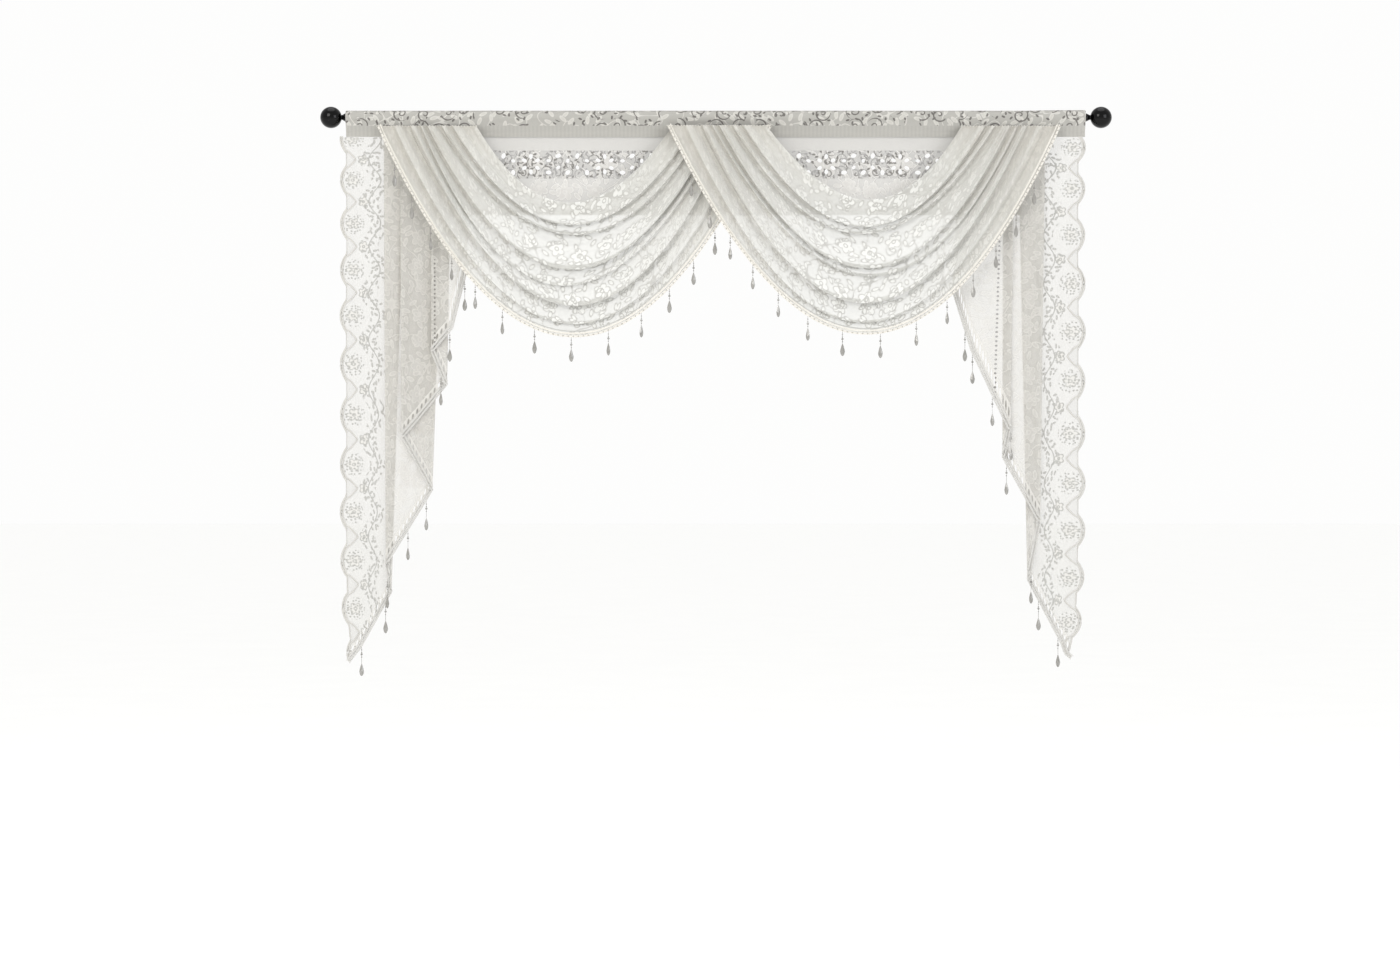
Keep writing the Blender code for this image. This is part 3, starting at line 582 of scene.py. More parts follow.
def draw_pocket(tree, cloth, hem):
    """Scrolls on the upper part, fine upright ribs below."""
    split = add(tree, "ShaderNodeSeparateXYZ", {0: cloth})
    rib = add(tree, "ShaderNodeMath", {0: split.outputs[0], 1: math.pi / RIB_PITCH},
              operation="MULTIPLY")
    rib = add(tree, "ShaderNodeMath", {0: rib}, operation="SINE")
    rib = add(tree, "ShaderNodeMapRange", {0: rib, 1: -1.0, 2: 1.0, 3: RIB_LOW, 4: RIB_HIGH})
    blades = leaves(tree, cloth, *POCKET_LEAVES)
    figures = add(tree, "ShaderNodeMath", {0: blades, 1: vines(tree, cloth, POCKET_WANDER)},
                  operation="MAXIMUM")
    above = add(tree, "ShaderNodeMath", {0: split.outputs[1], 1: POCKET_PLAIN_FROM},
                operation="LESS_THAN")
    figures = add(tree, "ShaderNodeMix", {0: above, 2: rib, 3: figures})
    gaps = open_gaps(tree, cloth, *POCKET_GAPS)
    shade = add(tree, "ShaderNodeMix", {0: above, 2: POCKET_PLAIN_SHADE, 3: gaps})
    edge = add(tree, "ShaderNodeMath", {0: split.outputs[1], 1: POCKET_EDGE},
               operation="LESS_THAN")
    edge = add(tree, "ShaderNodeMath", {0: edge, 1: POCKET_EDGE_SHADE}, operation="MULTIPLY")
    return figures, add(tree, "ShaderNodeMath", {0: shade, 1: edge}, operation="MAXIMUM"), None


def draw_panel(tree, cloth, hem):
    """A plain top strip, a band of open work and floral net below."""
    split = add(tree, "ShaderNodeSeparateXYZ", {0: cloth})
    across, down = split.outputs[0], split.outputs[1]
    under = add(tree, "ShaderNodeMath", {0: down, 1: BAND_TOP}, operation="GREATER_THAN")
    over = add(tree, "ShaderNodeMath", {0: down, 1: BAND_BOTTOM}, operation="LESS_THAN")
    band = add(tree, "ShaderNodeMath", {0: under, 1: over}, operation="MULTIPLY")
    half = LACE_REPEAT / 2.0
    step = add(tree, "ShaderNodeMath", {0: across, 1: half}, operation="ADD")
    step = add(tree, "ShaderNodeMath", {0: step, 1: half, 2: -half}, operation="WRAP")
    drop = add(tree, "ShaderNodeMath", {0: down, 1: BAND_FLOWER_DOWN}, operation="SUBTRACT")
    flower = blossom(tree, add(tree, "ShaderNodeCombineXYZ", {0: step, 1: drop}),
                     BAND_FLOWER_REACH, 6, 0.0)
    blades = leaves(tree, cloth, *BAND_LEAVES)
    open_work = add(tree, "ShaderNodeMath", {0: blades, 1: vines(tree, cloth, BAND_WANDER)},
                    operation="MAXIMUM")
    open_work = add(tree, "ShaderNodeMath", {0: open_work, 1: flower}, operation="MAXIMUM")
    loose = allover_figures(tree, cloth)
    top = add(tree, "ShaderNodeMath", {0: down, 1: BAND_TOP}, operation="LESS_THAN")
    loose = add(tree, "ShaderNodeMix", {0: top, 2: loose, 3: TOP_FIGURES})
    figures = add(tree, "ShaderNodeMix", {0: band, 2: loose, 3: open_work})
    gaps = open_gaps(tree, cloth, *BAND_GAPS)
    bare = add(tree, "ShaderNodeMapRange", {0: open_work, 2: FILLED, 3: BARE_SHADE, 4: 0.0})
    gaps = add(tree, "ShaderNodeMath", {0: gaps, 1: bare}, operation="MAXIMUM")
    gaps = add(tree, "ShaderNodeMath", {0: gaps, 1: LEAST_SHADE}, operation="MAXIMUM")
    gaps = add(tree, "ShaderNodeMath", {0: gaps, 1: band}, operation="MULTIPLY")
    plain = add(tree, "ShaderNodeMath", {0: top, 1: TOP_SHADE}, operation="MULTIPLY")
    return figures, add(tree, "ShaderNodeMath", {0: gaps, 1: plain}, operation="MAXIMUM"), None


pocket_finish = finish_lace("scroll lace over the rod", POCKET_LACE, draw_pocket)
panel_finish = finish_lace("open work lace", PANEL_LACE, draw_panel)
print(pocket_finish.name, "and", panel_finish.name)

# %% [markdown]
# ## Trim and metal finishes
# The swags' cord is spun rayon: creamy, with a silky shine along its twist. The tails have a white
# picot braid. The drops are clear cut acrylic, drawn in greys with a bright glint: the grey is a
# painted reflection of darker surroundings, and the glint comes from the lamps. The seed beads
# between the cord's turns are pearled glass. The rod is steel with black gloss enamel: a hard,
# wet-looking coat with a trace of orange peel.

# %% Cord, acrylic and enamel
def finish_simple(name, first, second, roughness, grain, depth):
    """Two close tones in a fine grain, the same grain as a slight relief, on Object coordinates."""
    material, tree, shader = new_finish(name)
    place = add(tree, "ShaderNodeTexCoord").outputs["Object"]
    noise = add(tree, "ShaderNodeTexNoise", {"Vector": place, "Scale": 1.0 / grain, "Detail": 3.0})
    tone = add(tree, "ShaderNodeMix", {0: noise, 6: linear(first), 7: linear(second)},
               data_type="RGBA")
    tree.links.new(tone.outputs[2], shader.inputs["Base Color"])
    rough = add(tree, "ShaderNodeMapRange", {0: noise, 3: roughness * 0.85, 4: roughness * 1.15})
    tree.links.new(rough.outputs[0], shader.inputs["Roughness"])
    bump = add(tree, "ShaderNodeBump", {"Height": noise, "Strength": 0.5, "Distance": depth})
    tree.links.new(bump.outputs[0], shader.inputs["Normal"])
    return material, shader


cord_finish, shader = finish_simple("spun rayon cord", "#D4D0C7", "#F2EFE8", 0.42, 0.0016, 0.0002)
shader.inputs["Sheen Weight"].default_value = 0.3
picot_finish, shader = finish_simple("white picot braid", "#BFBDB9", "#DBDAD6", 0.55, 0.0016, 0.0002)
shader.inputs["Sheen Weight"].default_value = 0.2
edge_finish, shader = finish_simple("outline thread", "#BBB9B4", "#D0CEC9", 0.60, 0.0016, 0.0002)
shader.inputs["Sheen Weight"].default_value = 0.1
# Clear acrylic drawn in two greys: a painted reflection of darker surroundings, mottled by the grain.
acrylic_finish, shader = finish_simple("cut clear acrylic", "#7C7A76", "#BDBBB6", 0.10, 0.0080, 0.0001)
shader.inputs["IOR"].default_value = 1.49
shader.inputs["Transmission Weight"].default_value = 0.25
shader.inputs["Coat Weight"].default_value = 0.6
bead_finish, shader = finish_simple("pearled glass seed bead", "#8B8780", "#D6D2C9", 0.22, 0.0030,
                                    0.0001)
shader.inputs["Coat Weight"].default_value = 0.4
enamel_finish, shader = finish_simple("black gloss enamel on steel", "#010101", "#040404", 0.07,
                                      0.0120, 0.0001)
shader.inputs["Specular IOR Level"].default_value = 0.22
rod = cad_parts["rod"]
rod.data.materials.clear()
rod.data.materials.append(enamel_finish)
print("rod keeps its solid, in", enamel_finish.name)

# %% [markdown]
# ## The folds
# A swag is cut wide, gathered at both ends and left to hang, so each fold line falls in a parabola
# from gather to gather. The tables hold one row for each fold line: how far it drops, where it is
# gathered on each side, where it hangs lowest, and how far it stands in front of the mean cloth
# (a lip) or behind it (a tuck). A smooth curve through the rows then gives any point between.

# %% Sizes and tables of the swags
HEADING_HALF = 0.750
STITCH_LINE = -0.0187
SWAG_CROWDING = 0.6
GATHER_FRONT = 0.0130
GATHER_RIPPLE = 0.0030
RIPPLE_RELIEF = 0.004
GATHER_PUFF = 0.0075
GATHER_PUFF_FALL = 0.022
SWAG_SLOPE = 0.085
OVERLAP_LEAD = 0.0098
OVERLAP_LEAD_BELOW = 0.0050
OVERLAP_LEAD_FALL = 0.060
OVERLAP_END = 0.20
OVERLAP_FADE = 0.50

FoldLine = namedtuple("FoldLine", "drop left right low relief")
LEFT_SWAG_LINES = (
    FoldLine(0.157, -0.199, 0.199, -0.008, 0.003),
    FoldLine(0.186, -0.224, 0.222, -0.006, -0.005),
    FoldLine(0.203, -0.243, 0.240, -0.004, 0.008),
    FoldLine(0.199, -0.254, 0.250, -0.004, -0.006),
    FoldLine(0.223, -0.266, 0.262, 0.000, 0.008),
    FoldLine(0.218, -0.276, 0.272, 0.002, -0.008),
    FoldLine(0.255, -0.284, 0.281, 0.004, 0.003),
    FoldLine(0.293, -0.295, 0.288, -0.004, 0.010),
    FoldLine(0.285, -0.303, 0.296, -0.006, -0.009),
    FoldLine(0.325, -0.310, 0.303, -0.018, 0.005),
    FoldLine(0.322, -0.317, 0.311, -0.012, -0.005),
    FoldLine(0.366, -0.328, 0.320, 0.000, 0.010),
    FoldLine(0.358, -0.340, 0.333, 0.000, -0.009),
    FoldLine(0.402, -0.358, 0.352, 0.000, 0.007),
    FoldLine(0.399, -0.374, 0.370, 0.000, -0.004),
    FoldLine(0.4255, -0.396, 0.394, 0.000, 0.003),
)
RIGHT_SWAG_LINES = (
    FoldLine(0.151, -0.197, 0.199, 0.010, 0.003),
    FoldLine(0.184, -0.220, 0.224, 0.006, -0.006),
    FoldLine(0.207, -0.238, 0.241, 0.002, 0.009),
    FoldLine(0.203, -0.250, 0.252, 0.000, -0.006),
    FoldLine(0.221, -0.261, 0.263, -0.004, 0.007),
    FoldLine(0.217, -0.271, 0.273, -0.004, -0.008),
    FoldLine(0.252, -0.280, 0.284, 0.002, 0.004),
    FoldLine(0.290, -0.289, 0.294, 0.006, 0.010),
    FoldLine(0.283, -0.297, 0.302, 0.008, -0.008),
    FoldLine(0.307, -0.305, 0.310, 0.014, 0.004),
    FoldLine(0.304, -0.312, 0.317, 0.010, -0.005),
    FoldLine(0.360, -0.322, 0.327, 0.002, 0.010),
    FoldLine(0.353, -0.334, 0.339, 0.000, -0.009),
    FoldLine(0.399, -0.352, 0.356, -0.002, 0.007),
    FoldLine(0.396, -0.370, 0.373, 0.000, -0.004),
    FoldLine(0.4200, -0.393, 0.395, 0.004, 0.003),
)
Swag = namedtuple("Swag", "name middle lines leads first_drop drop_pitch drops")
SWAGS = (
    Swag("swag_left", -0.2852, LEFT_SWAG_LINES, False, 0.085, 0.0745, 15),
    Swag("swag_right", 0.2994, RIGHT_SWAG_LINES, True, 0.110, 0.0752, 14),
)
print("fold lines in a swag:", len(LEFT_SWAG_LINES))

# %% Smooth curves through a table
def smooth_step(share):
    share = min(max(share, 0.0), 1.0)
    return share * share * (3.0 - 2.0 * share)


def mix(first, second, share):
    return first + (second - first) * share


def catmull(rows, place):
    """Read a table of rows at a fractional place, on a smooth curve through every column."""
    last = len(rows) - 1
    index = min(int(place), last - 1)
    share = place - index
    around = [rows[min(max(index + step, 0), last)] for step in (-1, 0, 1, 2)]
    values = []
    for before, start, end, after in zip(*around):
        rise = (end - before) / 2.0
        leave = (after - start) / 2.0
        bend = 3.0 * (end - start) - 2.0 * rise - leave
        turn = rise + leave - 2.0 * (end - start)
        values.append(start + share * (rise + share * (bend + share * turn)))
    return type(rows[0])(*values)


print("half way between two folds, in mm:", round(1000.0 * catmull(LEFT_SWAG_LINES, 6.5).drop))

# %% [markdown]
# ## A sheet of cloth
# Cloth is an open surface, so a sheet is columns of points joined by quads. Each point also gets
# its place on the flat cloth (the `cloth` map), its way along and in from the hem (the `hem` map),
# how much it is drawn together (`gather`) and how deep it lies in the shadow of a fold above or in
# front of it. The lace finish reads them all; the last one is a painted shadow in its colour.

# %% Sheet builder
ClothPoint = namedtuple("ClothPoint", "at cloth hem gather tuck")


def link_mesh(name, mesh, finish):
    made = bpy.data.objects.new(name, mesh)
    bpy.context.scene.collection.objects.link(made)
    mesh.materials.append(finish)
    mesh.shade_smooth()
    return made


def write_maps(mesh, points):
    """Store every point's two maps, its gather and its painted fold shadow."""
    for layer, field in (("cloth", "cloth"), ("hem", "hem")):
        uv = mesh.uv_layers.new(name=layer)
        flat = []
        for corner in mesh.loops:
            flat.extend(getattr(points[corner.vertex_index], field))
        uv.data.foreach_set("uv", flat)
    for field in ("gather", "tuck"):
        values = mesh.attributes.new(field, "FLOAT", "POINT")
        values.data.foreach_set("value", [getattr(point, field) for point in points])


def make_sheet(name, columns, finish, facing_back=False):
    """Join columns of cloth points, left to right and top to bottom, into one smooth sheet."""
    rows = len(columns[0])
    points = [point for column in columns for point in column]
    faces = []
    for column in range(len(columns) - 1):
        for row in range(rows - 1):
            corner = column * rows + row
            face = (corner, corner + 1, corner + rows + 1, corner + rows)
            faces.append(face[::-1] if facing_back else face)
    mesh = bpy.data.meshes.new(name)
    mesh.from_pydata([point.at for point in points], [], faces)
    write_maps(mesh, points)
    made = link_mesh(name, mesh, finish)
    area = sum(face.area for face in mesh.polygons)
    print(name, len(faces), "quads,", round(area, 3), "square metres")
    return made


def lengths_along(points):
    """The length from the first point to each."""
    marks = [0.0]
    for start, end in zip(points, points[1:]):
        marks.append(marks[-1] + (end - start).length)
    return marks


# %% [markdown]
# ## The swags
# Between the main folds the cloth has finer creases that run out of each gather and die away. They
# are a wave across the fold lines whose depth falls towards the middle of the swag.

# %% Swags
SWAG_COLUMNS = 151
SWAG_ROWS_PER_FOLD = 9
CREASE_DEPTH = 0.0013
CREASE_FALL = 0.015
CREASES_A_FOLD = 1.43
WRINKLE_DEPTH = 0.0007
WRINKLES_A_FOLD = 2.1
# The painted shadow under fold lips: how far behind a lip a point must lie, and how fast the shadow
# fades below it, in open and in gathered cloth.
LIP_SHADOW_BEHIND = 0.0010
LIP_SHADOW_REACH = 0.0024
LIP_SHADOW_REACH_GATHERED = 0.0014


def swag_point(swag, place, share):
    """A point of a swag: place runs down its fold lines, share runs from gather to gather."""
    line = catmull(swag.lines, place)
    control = 2.0 * line.low - (line.left + line.right) / 2.0
    rest = 1.0 - share
    x = rest * rest * line.left + 2.0 * share * rest * control + share * share * line.right
    depth_share = 4.0 * share * rest
    fall = line.drop * depth_share
    ripple = GATHER_RIPPLE * max(-1.0, min(1.0, line.relief / RIPPLE_RELIEF))
    front = GATHER_FRONT + GATHER_PUFF * smooth_step(fall / GATHER_PUFF_FALL) + SWAG_SLOPE * fall
    front += mix(ripple, line.relief, depth_share)
    if swag.leads:
        lead = OVERLAP_LEAD + OVERLAP_LEAD_BELOW * smooth_step(fall / OVERLAP_LEAD_FALL)
        front += lead * (1.0 - smooth_step((share - OVERLAP_END) / (OVERLAP_FADE - OVERLAP_END)))
    near = (1.0 - depth_share) ** 1.3 * smooth_step(fall / CREASE_FALL)
    side = -1.0 if share < 0.5 else 1.0
    crease = math.sin(2.0 * math.pi * (CREASES_A_FOLD * place
                                      + 0.35 * math.sin(1.7 * place + side)))
    wrinkle = math.sin(2.0 * math.pi * (WRINKLES_A_FOLD * place + 1.6 * share
                                       + 0.4 * math.sin(5.0 * share)))
    front += CREASE_DEPTH * near * crease + WRINKLE_DEPTH * depth_share * wrinkle
    return Vector((swag.middle + x, -front, STITCH_LINE - fall))


def lip_shade(column, reach):
    """How far each point of a column lies in the shade of a lip above and in front of it."""
    shades = []
    for row, point in enumerate(column):
        above = [other.z for other in column[max(0, row - 3 * SWAG_ROWS_PER_FOLD):row]
                 if point.y - other.y > LIP_SHADOW_BEHIND]
        away = min(above) - point.z if above else 1.0
        shades.append(math.exp(-max(away, 0.0) / reach))
    return shades


def swag_columns(swag):
    """The swag's cloth points, with lengths measured on the cloth itself."""
    intervals = (len(swag.lines) - 1) * SWAG_ROWS_PER_FOLD
    shares = []
    for column in range(SWAG_COLUMNS):
        even = column / (SWAG_COLUMNS - 1)
        shares.append(mix(even, 0.5 - 0.5 * math.cos(math.pi * even), SWAG_CROWDING))
    grid = [[swag_point(swag, row / SWAG_ROWS_PER_FOLD, share) for row in range(intervals + 1)]
            for share in shares]
    middle = SWAG_COLUMNS // 2
    down = lengths_along(grid[middle])
    across = [lengths_along([column[row] for column in grid]) for row in range(intervals + 1)]
    columns = []
    for index, share in enumerate(shares):
        near = (1.0 - 4.0 * share * (1.0 - share)) ** 1.2
        # Painted shadow under the fold lips, stored for each point.
        lip_shadows = lip_shade(grid[index], mix(LIP_SHADOW_REACH, LIP_SHADOW_REACH_GATHERED, near))
        to_hem = lengths_along(grid[index][::-1])[::-1]
        columns.append([
            ClothPoint(point, (across[row][index] - across[row][middle], down[row]),
                       (across[-1][index], to_hem[row]), near, lip_shadows[row])
            for row, point in enumerate(grid[index])])
    return columns


swag_sheets = {swag.name: swag_columns(swag) for swag in SWAGS}
swags = {name: make_sheet(name + "_lace", columns, swag_finish)
         for name, columns in swag_sheets.items()}

# %% [markdown]
# ## The tails
# A tail is one piece of lace cut on a slant. Its scalloped edge hangs flat as the outer strip, and
# the rest is folded back and forth in pleats that stack forwards. The table has one row for each
# upright line: its place at the heading and at the hem, how far its hem hangs below the rod, and
# whether the cloth folds back there.

# %% Sizes and tables of the tails
TAIL_TOP = 0.0402
PLEAT_PITCH_TOP = 0.0024
PLEAT_PITCH = 0.0045
PLEAT_OPEN_FALL = 0.21
PLEAT_ROUND = 0.0022
STRIP_WAVE = 0.0045
STRIP_WAVE_LENGTH = 0.37
TIP_CURL = 16
FLUTE_DEPTH = 0.0060
FLUTE_WIDTH = 0.105
FLUTE_FALL = 0.30

PleatRow = namedtuple("PleatRow", "top hem drop turns drops")
LEFT_TAIL_ROWS = (
    PleatRow(-0.7560, -0.7400, 1.103, False, ()),
    PleatRow(-0.6300, -0.6570, 0.959, True, (0.22, 0.80)),
    PleatRow(-0.6730, -0.6690, 0.900, True, (0.40,)),
    PleatRow(-0.5490, -0.5735, 0.752, True, (0.43, 0.82)),
    PleatRow(-0.6400, -0.6360, 0.645, True, ()),
    PleatRow(-0.5350, -0.5430, 0.539, True, ()),
    PleatRow(-0.5755, -0.5755, 0.472, True, (0.25,)),
    PleatRow(-0.5360, -0.5350, 0.427, False, (0.85,)),
    PleatRow(-0.4980, -0.5024, 0.293, False, (0.70,)),
)
RIGHT_TAIL_ROWS = (
    PleatRow(0.7436, 0.7217, 1.095, False, ()),
    PleatRow(0.6140, 0.6324, 0.933, True, (0.25, 0.70)),
    PleatRow(0.6690, 0.6590, 0.817, True, (0.08,)),
    PleatRow(0.5836, 0.5816, 0.685, True, (0.84,)),
    PleatRow(0.6060, 0.5980, 0.630, True, (0.85,)),
    PleatRow(0.5500, 0.5207, 0.472, False, (0.42, 0.95)),
    PleatRow(0.4960, 0.4800, 0.340, False, (0.28,)),
)
SCALLOP_BREADTH = 0.75
SCALLOP_ROUND = 0.8
LEFT_PEAKS = (0.0436, 0.1269, 0.2142, 0.3088, 0.4023, 0.5004, 0.6035, 0.7046, 0.8012, 0.9007, 0.9971,
              1.0950)
RIGHT_PEAKS = (0.0609, 0.1435, 0.2375, 0.3372, 0.4350, 0.5349, 0.6413, 0.7428, 0.8386, 0.9344,
               1.0254, 1.1170)
Tail = namedtuple("Tail", "name side rows peaks scallop")
TAILS = (
    Tail("tail_left", -1, LEFT_TAIL_ROWS, LEFT_PEAKS, 0.0060),
    Tail("tail_right", 1, RIGHT_TAIL_ROWS, RIGHT_PEAKS, 0.0070),
)
print("upright lines:", [len(tail.rows) for tail in TAILS])

# %% Tails
COLUMN_STEP = 0.007
FOLD_STEPS = 6
TAIL_INTERVALS = 160
SCALLOP_FADE = 0.026
TIP_FADE = 0.042
TAIL_CREASE = 0.0011
TAIL_CREASE_WAVE = 230.0
TAIL_CREASE_LEAN = 9.0
TAIL_CREASE_FALL = 0.1
# The pleats count as gathered: this raises their alpha and tints them with the gather's painted shade.
PLEAT_GATHER_AND_SHADE = 0.28
PLEAT_SHADE = 0.009

Upright = namedtuple("Upright", "top hem drop layer across lean gather")


def tail_uprights(tail):
    """The upright lines of a tail, from the scalloped edge inwards, with round folds."""
    uprights = []
    layer = 0
    across = 0.0
    for before, row in zip(tail.rows, tail.rows[1:]):
        width = abs(row.top - before.top)
        lean = width / math.hypot(width, row.drop - before.drop)
        way = math.copysign(PLEAT_ROUND, row.top - before.top)
        shift_start = way if before.turns else 0.0
        shift_end = -way if row.turns else 0.0
        gather_and_shade = 0.0 if not uprights else PLEAT_GATHER_AND_SHADE
        cuts = max(3, round(width / COLUMN_STEP))
        stop = cuts + 1 if row.turns or row is tail.rows[-1] else cuts
        for cut in range(stop):
            share = cut / cuts
            shift = mix(shift_start, shift_end, share)
            uprights.append(Upright(
                mix(before.top, row.top, share) + shift, mix(before.hem, row.hem, share) + shift,
                mix(before.drop, row.drop, share), layer, across + width * share, lean, gather_and_shade))
        across += width
        if row.turns:
            for step in range(1, FOLD_STEPS):
                angle = math.pi * (step / FOLD_STEPS - 0.5)
                shift = way * (math.cos(angle) - 1.0)
                uprights.append(Upright(row.top + shift, row.hem + shift, row.drop,
                                        layer + 0.5 + 0.5 * math.sin(angle), across, lean,
                                        PLEAT_GATHER_AND_SHADE))
            layer += 1
    return uprights


def repeats(tail, down):
    """How many scallops lie above a height; the knitted repeat stretches as the cloth hangs."""
    peaks = tail.peaks
    index = 0
    while index < len(peaks) - 2 and peaks[index + 1] < down:
        index += 1
    return index + (down - peaks[index]) / (peaks[index + 1] - peaks[index])


def scallop(phase):
    """The edge of a scallop from -1 to 1: a broad round peak between flat hollows."""
    away = math.acos(math.cos(phase))
    return 2.0 * max(0.0, math.cos(SCALLOP_BREADTH * away)) ** SCALLOP_ROUND - 1.0


def tail_point(tail, upright, share):
    """A point of a tail on one of its upright lines."""
    fall = (upright.drop - TAIL_TOP) * share
    edge = upright.across if upright.layer == 0 else 1.0
    reach = mix(share ** TIP_CURL, share, min(1.0, edge / TIP_FADE))
    x = mix(upright.top, upright.hem, reach)
    pitch = mix(PLEAT_PITCH_TOP, PLEAT_PITCH, smooth_step(fall / PLEAT_OPEN_FALL))
    y = -upright.layer * pitch
    outer, inner = tail.rows[0], tail.rows[1]
    if upright.layer == 0:
        strip = (upright.top - inner.top) / (outer.top - inner.top)
        y += STRIP_WAVE * strip * (1.0 - math.cos(2.0 * math.pi * fall / STRIP_WAVE_LENGTH))
    flute = 0.5 - 0.5 * math.cos(2.0 * math.pi * (x - inner.hem) / FLUTE_WIDTH)
    y += FLUTE_DEPTH * smooth_step(fall / FLUTE_FALL) * flute
    crease = math.sin(upright.across * TAIL_CREASE_WAVE + fall * TAIL_CREASE_LEAN)
    y += TAIL_CREASE * crease * smooth_step(fall / TAIL_CREASE_FALL)
    phase = 2.0 * math.pi * repeats(tail, TAIL_TOP + fall)
    x += tail.side * tail.scallop * scallop(phase) * max(0.0, 1.0 - edge / SCALLOP_FADE)
    return Vector((x, y, -TAIL_TOP - fall))


def row_x(row, fall):
    """Where an upright line of the table stands at a height."""
    return mix(row.top, row.hem, min(1.0, fall / (row.drop - TAIL_TOP)))


def pleat_shade(panels, layer, x, fall):
    """How far a point lies in the shade of the pleats in front of it: 1 behind them."""
    shade = 0.0
    for start, end in panels[int(math.ceil(layer)) + 1:]:
        if fall + TAIL_TOP > max(start.drop, end.drop):
            continue
        low, high = sorted((row_x(start, fall), row_x(end, fall)))
        away = max(low - x, x - high, 0.0)
        shade = max(shade, math.exp(-away / PLEAT_SHADE))
    return shade


def tail_columns(tail):
    """The tail's cloth points; the way in from the slanted hem is squared to that hem."""
    uprights = tail_uprights(tail)
    turning = [tail.rows[0]] + [row for row in tail.rows if row.turns] + [tail.rows[-1]]
    panels = list(zip(turning, turning[1:]))
    hem_marks = lengths_along([tail_point(tail, upright, 1.0) for upright in uprights])
    columns = []
    for upright, mark in zip(uprights, hem_marks):
        column = []
        for row in range(TAIL_INTERVALS + 1):
            share = row / TAIL_INTERVALS
            fall = (upright.drop - TAIL_TOP) * share
            rest = (upright.drop - TAIL_TOP - fall) * upright.lean
            at = tail_point(tail, upright, share)
            # Painted shadow of the pleats in front of this point, stored as its fold shadow.
            shade = pleat_shade(panels, upright.layer, at.x, fall)
            knitted = tail.peaks[0] + SCALLOP_PITCH * repeats(tail, TAIL_TOP + fall)
            column.append(ClothPoint(at, (upright.across, knitted), (mark, rest),
                                     upright.gather * (1.0 - 0.5 * share), shade))
        columns.append(column)
    return columns


tail_sheets = {tail.name: tail_columns(tail) for tail in TAILS}
tails = {}
for tail in TAILS:
    finish = tail_finishes["left" if tail.side < 0 else "right"]
    tails[tail.name] = make_sheet(tail.name + "_lace", tail_sheets[tail.name], finish,
                                  facing_back=tail.side > 0)

# %% [markdown]
# ## The rod pocket
# One strip of lace goes up the back, over the rod and down the front, and a seam below closes it.
# Seen from the side it is a teardrop: an arc round the rod between two straight runs. It is a
# sheet too, with small ripples along it, because a pocket never lies quite flat on its rod.

# %% Rod pocket
POCKET_RADIUS = 0.0136
SEAM_TOP = -0.0310
SEAM_BOTTOM = -0.0396
SEAM_HALF = 0.0010
POCKET_COLUMNS = 401
POCKET_ARC_STEPS = 18
POCKET_RIPPLE = 0.0007
RIPPLE_RISE = 0.02
RUN_STEPS = 5
FOOT_STEPS = 3
END_FLARE = 0.10
FLARE_FROM = 0.9
FLARE_RUN = 0.1


def pocket_profile():
    """Back hem, back seam, over the rod, front seam, front hem, as y and z."""
    slant = math.atan2(SEAM_HALF, -SEAM_TOP)
    slant -= math.asin(POCKET_RADIUS / math.hypot(SEAM_HALF, SEAM_TOP))
    arc = []
    for step in range(POCKET_ARC_STEPS + 1):
        angle = mix(math.pi - slant, slant, step / POCKET_ARC_STEPS)
        arc.append((-POCKET_RADIUS * math.cos(angle), POCKET_RADIUS * math.sin(angle)))
    start, end = arc[0], arc[-1]
    rise = [(mix(SEAM_HALF, start[0], step / RUN_STEPS), mix(SEAM_TOP, start[1], step / RUN_STEPS))
            for step in range(RUN_STEPS)]
    drop = [(mix(end[0], -SEAM_HALF, step / RUN_STEPS), mix(end[1], SEAM_TOP, step / RUN_STEPS))
            for step in range(1, RUN_STEPS + 1)]
    foot = [mix(SEAM_TOP, SEAM_BOTTOM, step / FOOT_STEPS) for step in range(1, FOOT_STEPS + 1)]
    return ([(SEAM_HALF, z) for z in foot[::-1]] + rise + arc + drop
            + [(-SEAM_HALF, z) for z in foot])


def pocket_columns():
    profile = pocket_profile()
    marks = lengths_along([Vector((0.0, y, z)) for y, z in profile])
    top = marks[len(marks) // 2]
    columns = []
    for index in range(POCKET_COLUMNS):
        share = index / (POCKET_COLUMNS - 1)
        x = mix(-HEADING_HALF, HEADING_HALF, share)
        flare = 1.0 + END_FLARE * smooth_step((share - FLARE_FROM) / FLARE_RUN)
        ripple = POCKET_RIPPLE * (1.0 + math.sin(x * 95.0 + 2.0 * math.sin(x * 23.0)))
        column = []
        for (y, z), mark in zip(profile, marks):
            outward = ripple * smooth_step((z - SEAM_TOP) / RIPPLE_RISE) * math.copysign(1.0, y)
            at = Vector((x, y * flare + outward, z * flare if z > 0 else z))
            down = abs(mark - top)
            column.append(ClothPoint(at, (x, down), (x, top - down), 0.0, 0.0))
        columns.append(column)
    return columns


pocket = make_sheet("heading_lace", pocket_columns(), pocket_finish)

# %% [markdown]
# ## The flat panel
# Behind the swags hangs a flat panel with one band of open work. A filled 2D curve cuts holes
# cleanly: the outer ring is the band's outline, and each further ring inside it is a hole. Plain
# grids above and below share the band's edge points, so the three merge into one sheet.

# %% Flat panel
PANEL_HALF = 0.620
PANEL_TOP = -0.0335
PANEL_BOTTOM = -0.198
PANEL_BACK = 0.0034
PANEL_WAVE = 0.0045
PANEL_WAVE_LENGTH = 0.31
PANEL_COLUMNS = 124
BAND_MIDDLE = -0.0945
PETALS = 6
PETAL_REACH = 0.0155
PETAL_HOLE = 0.0052
SCROLL_STEPS = 5
SCROLL_START = 0.036
SCROLL_STEP = 0.0195
SCROLL_SWING = 0.0170
SCROLL_HOLE = 0.0058
HOLE_SIDES = 12
HOLE_OVAL = 0.72


